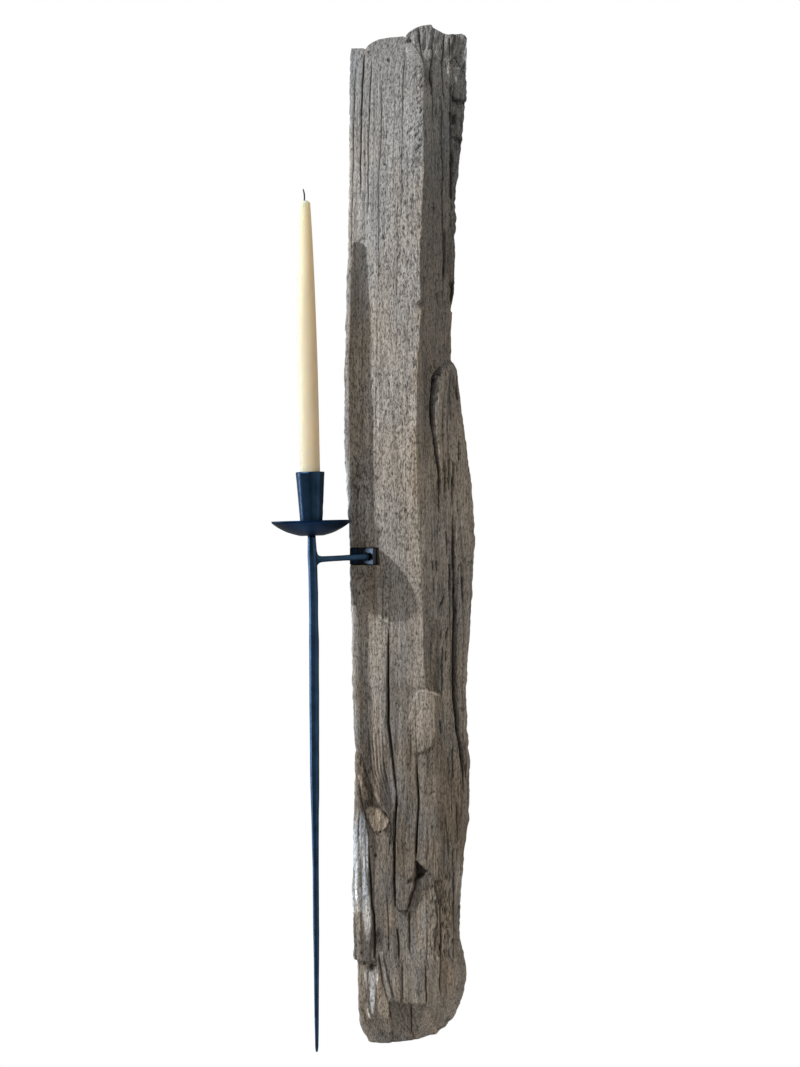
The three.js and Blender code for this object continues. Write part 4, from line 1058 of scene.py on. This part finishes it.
def build_cup():
    bore_bottom = CUP_BOTTOM_MM + 5
    outside = refined(
        [(TENON_HOLE_MM, CUP_BOTTOM_MM), (9.6, CUP_BOTTOM_MM), (10.3, 2.5), (10.6, 3.1), (11.8, 20),
         (14.2, 58), (14.75, 64.6), (14.7, 65.9), (14.2, CUP_RIM_MM)], 1.6,
    )
    inside = refined(
        [(13.2, CUP_RIM_MM), (12.8, 65.9), (12.72, 64.8), (7.68, bore_bottom),
         (TENON_HOLE_MM, bore_bottom)], 2.0,
    )
    points, faces = turned(outside + inside, CUP_SEGMENTS)
    flat = points.reshape(-1, 3)
    turn = np.arctan2(flat[:, 1], flat[:, 0])
    radius = np.hypot(flat[:, 0], flat[:, 1])
    is_outer = (np.arange(len(points)) < len(outside))[:, None] * np.ones((1, CUP_SEGMENTS))
    is_outer = is_outer.ravel() * smoothstep(4, 10, radius)
    facet = 0.018 * np.cos(8 * turn + 0.25)
    hammer = lattice(turn * 13 + 50, flat[:, 2], 5.5, 7.5, 301) * 0.012
    hammer += lattice(turn * 13 + 50, flat[:, 2], 2.4, 3.2, 302) * 0.004
    seam = np.cos(turn / 2)
    swell = 1 + is_outer * (facet + hammer * np.abs(seam))
    flat = flat * np.stack([swell, swell, np.ones_like(swell)], axis=-1)
    cup = add_mesh("candle_cup_hammered", placed(flat, SEAT_MM, HEAD_LEAN), faces, cup_iron)
    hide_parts("candle_cup")


def dish_height(radius):
    """Height of the pan's curve above its flat middle."""
    sphere, flat = 64.5, 11.5
    return math.sqrt(sphere**2 - flat**2) - math.sqrt(sphere**2 - max(radius, flat) ** 2)


def build_pan():
    hole, rim = TENON_HOLE_MM, 41.7
    radii = [hole + (rim - 0.7 - hole) * i / 26 for i in range(27)]
    under = [(r, dish_height(r)) for r in radii]
    top = dish_height(rim)
    edge = [(rim - 0.2, top + 0.3), (rim, top + 0.9), (rim - 0.3, top + 1.5)]
    over = [(r, dish_height(r) + 1.8) for r in reversed(radii)]
    points, faces = turned(under + edge + over, 144)
    flat = points.reshape(-1, 3)
    dimples = lattice(flat[:, 0] + 60, flat[:, 1] + 60, 6.5, 6.5, 311) * 0.16
    dimples += lattice(flat[:, 0] + 60, flat[:, 1] + 60, 3, 3, 312) * 0.06
    radius = np.hypot(flat[:, 0], flat[:, 1])
    flat[:, 2] += dimples * smoothstep(13, 18, radius) * smoothstep(41, 38, radius)
    pan = add_mesh("drip_pan_beaten", placed(flat, SEAT_MM, HEAD_LEAN), faces, pan_iron)
    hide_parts("drip_pan")


SPIKE_STATIONS = [
    (-1.4, 8.1, -102.5), (-12, 8.7, -102.1), (-24, 9.7, -101.7), (-36, 9.2, -101.2), (-61, 9.4, -100.6),
    (-86, 9.1, -100.3), (-111, 10, -100), (-150, 9.8, -99.8), (-173, 10, -99.7),
    (-215, 9.4, -99.5), (-246, 9.4, -99.3), (-273, 8.7, -99), (-298, 7.5, -98.8),
    (-325, 6.9, -98.5), (-348, 6.3, -98.2), (-410, 6.2, -97.8), (-440, 5.5, -97.5),
    (-473, 4.9, -97.4), (-498, 4.5, -97.3), (-522, 3.8, -97.1), (-535, 3.3, -97.1),
    (-539, 2, -97.1),
]


def build_spike():
    """Square bar with broad hammered bevels, drawn down to a blunt point."""
    z, width, x = np.array(SPIKE_STATIONS, float)[::-1].T
    heights = np.concatenate([np.arange(-539, -3, 3.0), [-1.4]])
    widths = np.interp(heights, z, width)
    centres = np.interp(heights, z, x)
    turns = np.arange(48) / 48 * 2 * math.pi
    flat_to_flat = np.cos((turns + math.pi / 8) % (math.pi / 4) - math.pi / 8)
    radius = widths[:, None] / 2 / flat_to_flat[None, :] * 0.985
    level = heights[:, None] + 0 * turns
    beat = lattice(turns[None, :] * 4 + 0 * level, level, 3.1, 16, 321)
    beat += 0.5 * lattice(turns[None, :] * 4 + 0 * level, level, 1.6, 7, 322)
    radius = radius * (1 - 0.02 * (1 + beat) * np.abs(np.cos(turns / 2))[None, :])
    angle = turns[None, :] + ARM_YAW
    points = np.stack(
        [centres[:, None] + radius * np.cos(angle), SEAT_MM.y + radius * np.sin(angle), level], axis=-1
    )
    faces = capped_faces(len(heights), len(turns))
    spike = add_mesh("forged_spike", points.reshape(-1, 3) * MM, faces, bar_iron)
    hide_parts("stem_spike")
    peened = [(0.02, -6), (3.5, -6), (3.5, 7.4), (5, 7.4), (4.9, 8), (4.3, 8.8), (2.8, 9.5), (0.02, 9.8)]
    rivet_points, rivet_faces = turned(refined(peened, 1.0), 40)
    rivet_points = placed(rivet_points.reshape(-1, 3), SEAT_MM, HEAD_LEAN)
    rivet = add_mesh("spike_tenon", rivet_points, rivet_faces, bar_iron)


LEG_MIDDLE_MM = Vector((-44.46, -76.41, NOTCH_MIDDLE_MM - 0.4))
ARM_DROP = math.radians(2.2)
# Arm from the tenon to the spike: distance, half width, half height above and below, squareness
ARM_STATIONS = [
    (-5.4, 2.4, 2.4, 2.4, 2), (0.2, 2.5, 2.5, 2.5, 2), (0.4, 3.5, 3.5, 3.5, 2), (1.3, 4.3, 4.3, 4.3, 2),
    (2.7, 4.3, 4.3, 4.3, 2), (3.7, 3.6, 3.8, 3.8, 2), (4.4, 3.1, 3.3, 3.3, 3.6),
    (12, 3.0, 3.2, 3.2, 4.5), (30, 2.9, 2.9, 2.9, 4.5), (46, 2.9, 2.9, 2.9, 4.5),
    (55, 2.95, 3.0, 3.05, 4.5), (59, 3.0, 3.2, 3.3, 4), (61.5, 3.1, 3.6, 3.8, 3.6),
    (63.2, 3.2, 4.4, 4.7, 3.2), (64.3, 3.3, 5.6, 5.9, 3),
    (65.1, 3.3, 7.6, 7.4, 2.6), (65.8, 3.3, 11, 9.4, 2.4), (66.6, 3.0, 14, 11.5, 2.4),
]


def build_arm():
    """Round tenon and collar, then a squared bar that flows into the spike."""
    s, half_width, above, below, squareness = np.array(ARM_STATIONS, float).T
    fine = np.unique(np.concatenate([s, np.arange(5, 66, 1.5)]))
    turns = np.arange(40) / 40 * 2 * math.pi
    power = 2 / np.interp(fine, s, squareness)[:, None]
    across = np.sign(np.cos(turns)) * np.abs(np.cos(turns)) ** power
    up = np.sign(np.sin(turns)) * np.abs(np.sin(turns)) ** power
    beat = 1 + 0.02 * lattice(turns[None, :] * 3 + 0 * power, fine[:, None] + 0 * turns, 3, 6, 341)
    side = across * np.interp(fine, s, half_width)[:, None] * beat
    height = np.where(up > 0, np.interp(fine, s, above)[:, None], np.interp(fine, s, below)[:, None])
    rise = up * height * beat - fine[:, None] * math.sin(ARM_DROP)
    points = np.stack(
        [
            LEG_MIDDLE_MM.x - fine[:, None] * math.cos(ARM_YAW) + side * math.sin(ARM_YAW),
            LEG_MIDDLE_MM.y - fine[:, None] * math.sin(ARM_YAW) - side * math.cos(ARM_YAW),
            LEG_MIDDLE_MM.z + rise,
        ],
        axis=-1,
    )
    faces = capped_faces(len(fine), len(turns))
    arm = add_mesh("side_arm_forged", points.reshape(-1, 3) * MM, faces, bar_iron)
    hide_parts("side_arm")


def finish_cad_nodes():
    """The carried-over CAD pieces keep their shape and get the shop materials."""
    finishes = {"bracket_strap": strap_iron}
    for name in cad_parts:
        if name.startswith("bracket_screw"):
            finishes[name] = screw_iron
        if name.startswith("hanger"):
            finishes[name] = zinc
    for name, material in finishes.items():
        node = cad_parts[name]
        for slot in node.material_slots:
            slot.material = material


build_cup()
build_pan()
build_spike()
build_arm()
finish_cad_nodes()


# ---- Candle ---------------------------------------------------------------------------------

CANDLE_LENGTH_MM, CANDLE_SHOULDER_MM = 305, 301


def build_candle():
    heights = np.linspace(0, CANDLE_SHOULDER_MM, 110)
    radius = 10.4 - 4.4 * (heights / CANDLE_SHOULDER_MM) ** 3.1
    radius[0] -= 0.35
    side = list(zip(radius, heights))
    tip = [(5.7, 302.3), (4.9, 303.3), (3.4, 304.2), (1.7, 304.9), (1.3, CANDLE_LENGTH_MM),
           (1.2, 304.6), (1.2, 299), (0.02, 299)]
    points, faces = turned([(0.02, 0)] + side + tip, 72)
    flat = points.reshape(-1, 3)
    turn = np.arctan2(flat[:, 1], flat[:, 0])
    cast = lattice(turn * 4 + 20, flat[:, 2], 3.4, 45, 331) * 0.008 * np.abs(np.cos(turn / 2))
    flat = flat * np.stack([1 + cast, 1 + cast, np.ones_like(cast)], axis=-1)
    flat = placed(flat, CANDLE_BASE_MM, CANDLE_LEAN)
    candle = add_mesh("taper_candle", flat, faces, wax, "candle")
    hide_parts("candle_wax")


def build_wick():
    """A braided wick that curls forward and tapers at its burnt end."""
    top = CANDLE_LENGTH_MM
    knots = [Vector(p) for p in [(0, 0, top - 5.6), (0, 0, top - 2), (0, 0, top + 1),
                                 (0.1, -0.8, top + 4), (-0.2, -3.6, top + 7.6), (-0.9, -8, top + 10)]]
    path = []
    for i in range(len(knots) - 1):
        a, b = knots[max(i - 1, 0)], knots[i]
        c, d = knots[i + 1], knots[min(i + 2, len(knots) - 1)]
        for step in range(8):
            s = step / 8
            path.append(
                0.5 * ((2 * b) + (c - a) * s + (2 * a - 5 * b + 4 * c - d) * s**2
                       + (3 * b - a - 3 * c + d) * s**3)
            )
    path.append(knots[-1])
    count, points = 18, []
    for i, centre in enumerate(path):
        ahead = (path[min(i + 1, len(path) - 1)] - path[max(i - 1, 0)]).normalized()
        side = ahead.cross(Vector((1, 0, 0))).normalized()
        other = ahead.cross(side)
        thin = 1 - 0.35 * smoothstep(0.75, 1, i / (len(path) - 1))
        for j in range(count):
            turn = 2 * math.pi * j / count
            strand = 0.78 + 0.12 * math.cos(3 * (turn - 0.5 * i))
            points.append(centre + (side * math.cos(turn) + other * math.sin(turn)) * strand * thin)
    faces = capped_faces(len(path), count)
    points = placed(points, CANDLE_BASE_MM, CANDLE_LEAN)
    piece = add_mesh("braided_wick", points, faces, wick, "candle")
    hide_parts("candle_wick")


build_candle()
build_wick()


# ---- Stage, light and camera ----------------------------------------------------------------


def build_floor():
    """A round pale plinth below the timber."""
    radius, thickness, level = 0.56, 0.012, -0.75
    rings = [(0.001, level), (0.002, level), (radius - 0.006, level), (radius - 0.004, level),
             (radius - 0.001, level - 0.001), (radius, level - 0.004), (radius, level - thickness),
             (0.001, level - thickness)]
    points, faces = turned(rings, 128)
    faces = [face[::-1] for face in faces]
    floor = add_mesh("floor", points.reshape(-1, 3), faces, pale_floor, body=None)


def add_light(name, kind, energy, colour):
    light = bpy.data.lights.new(name, kind)
    light.energy = energy
    light.color = colour
    return add_object(name, light)


def add_sun(name, travel, strength, angle, colour):
    lamp = add_light(name, "SUN", strength, colour)
    lamp.data.angle = math.radians(angle)
    lamp.rotation_mode = "QUATERNION"
    lamp.rotation_quaternion = Vector(travel).to_track_quat("-Z", "Y")


def add_lamp(name, place, power, radius, colour):
    lamp = add_light(name, "POINT", power, colour)
    lamp.data.shadow_soft_size = radius
    lamp.location = place


def build_world():
    """Even dim light all round, with a white background behind the object."""
    world = bpy.data.worlds.new("studio")
    bpy.context.scene.world = world
    world.use_nodes = True
    tree = world.node_tree
    ambient = tree.nodes["Background"]
    ambient.inputs["Color"].default_value = (1.0, 0.95, 0.87, 1)
    ambient.inputs["Strength"].default_value = 0.24
    backdrop = tree.nodes.new("ShaderNodeBackground")
    backdrop.inputs["Color"].default_value = (1, 1, 1, 1)
    backdrop.inputs["Strength"].default_value = 1.0
    path = tree.nodes.new("ShaderNodeLightPath")
    mix = tree.nodes.new("ShaderNodeMixShader")
    tree.links.new(path.outputs["Is Camera Ray"], mix.inputs[0])
    tree.links.new(ambient.outputs[0], mix.inputs[1])
    tree.links.new(backdrop.outputs[0], mix.inputs[2])
    tree.links.new(mix.outputs[0], tree.nodes["World Output"].inputs["Surface"])


def build_camera():
    camera = bpy.data.cameras.new("camera")
    camera.sensor_width = 36
    camera.lens = 68.12
    camera.clip_start, camera.clip_end = 0.05, 50
    viewer = add_object("camera", camera)
    viewer.location = (-0.0106, -2.2164, 0)
    viewer.rotation_euler = (math.radians(90), 0, 0)
    bpy.context.scene.camera = viewer


build_floor()
build_world()
add_lamp("key", (-1.05, -0.816, 1.0), 98, 0.017, (1.0, 0.985, 0.965))
add_sun("second", (0.93, 1.0, -1.15), 0.75, 16, (0.95, 0.97, 1.0))
add_sun("room", (-0.9, 0.38, -0.25), 0.8, 60, (1.0, 0.92, 0.82))
add_sun("window", (0.94, -0.30, -0.05), 1.9, 30, (0.80, 0.90, 1.0))
build_camera()
bpy.context.scene.view_settings.view_transform = "Standard"
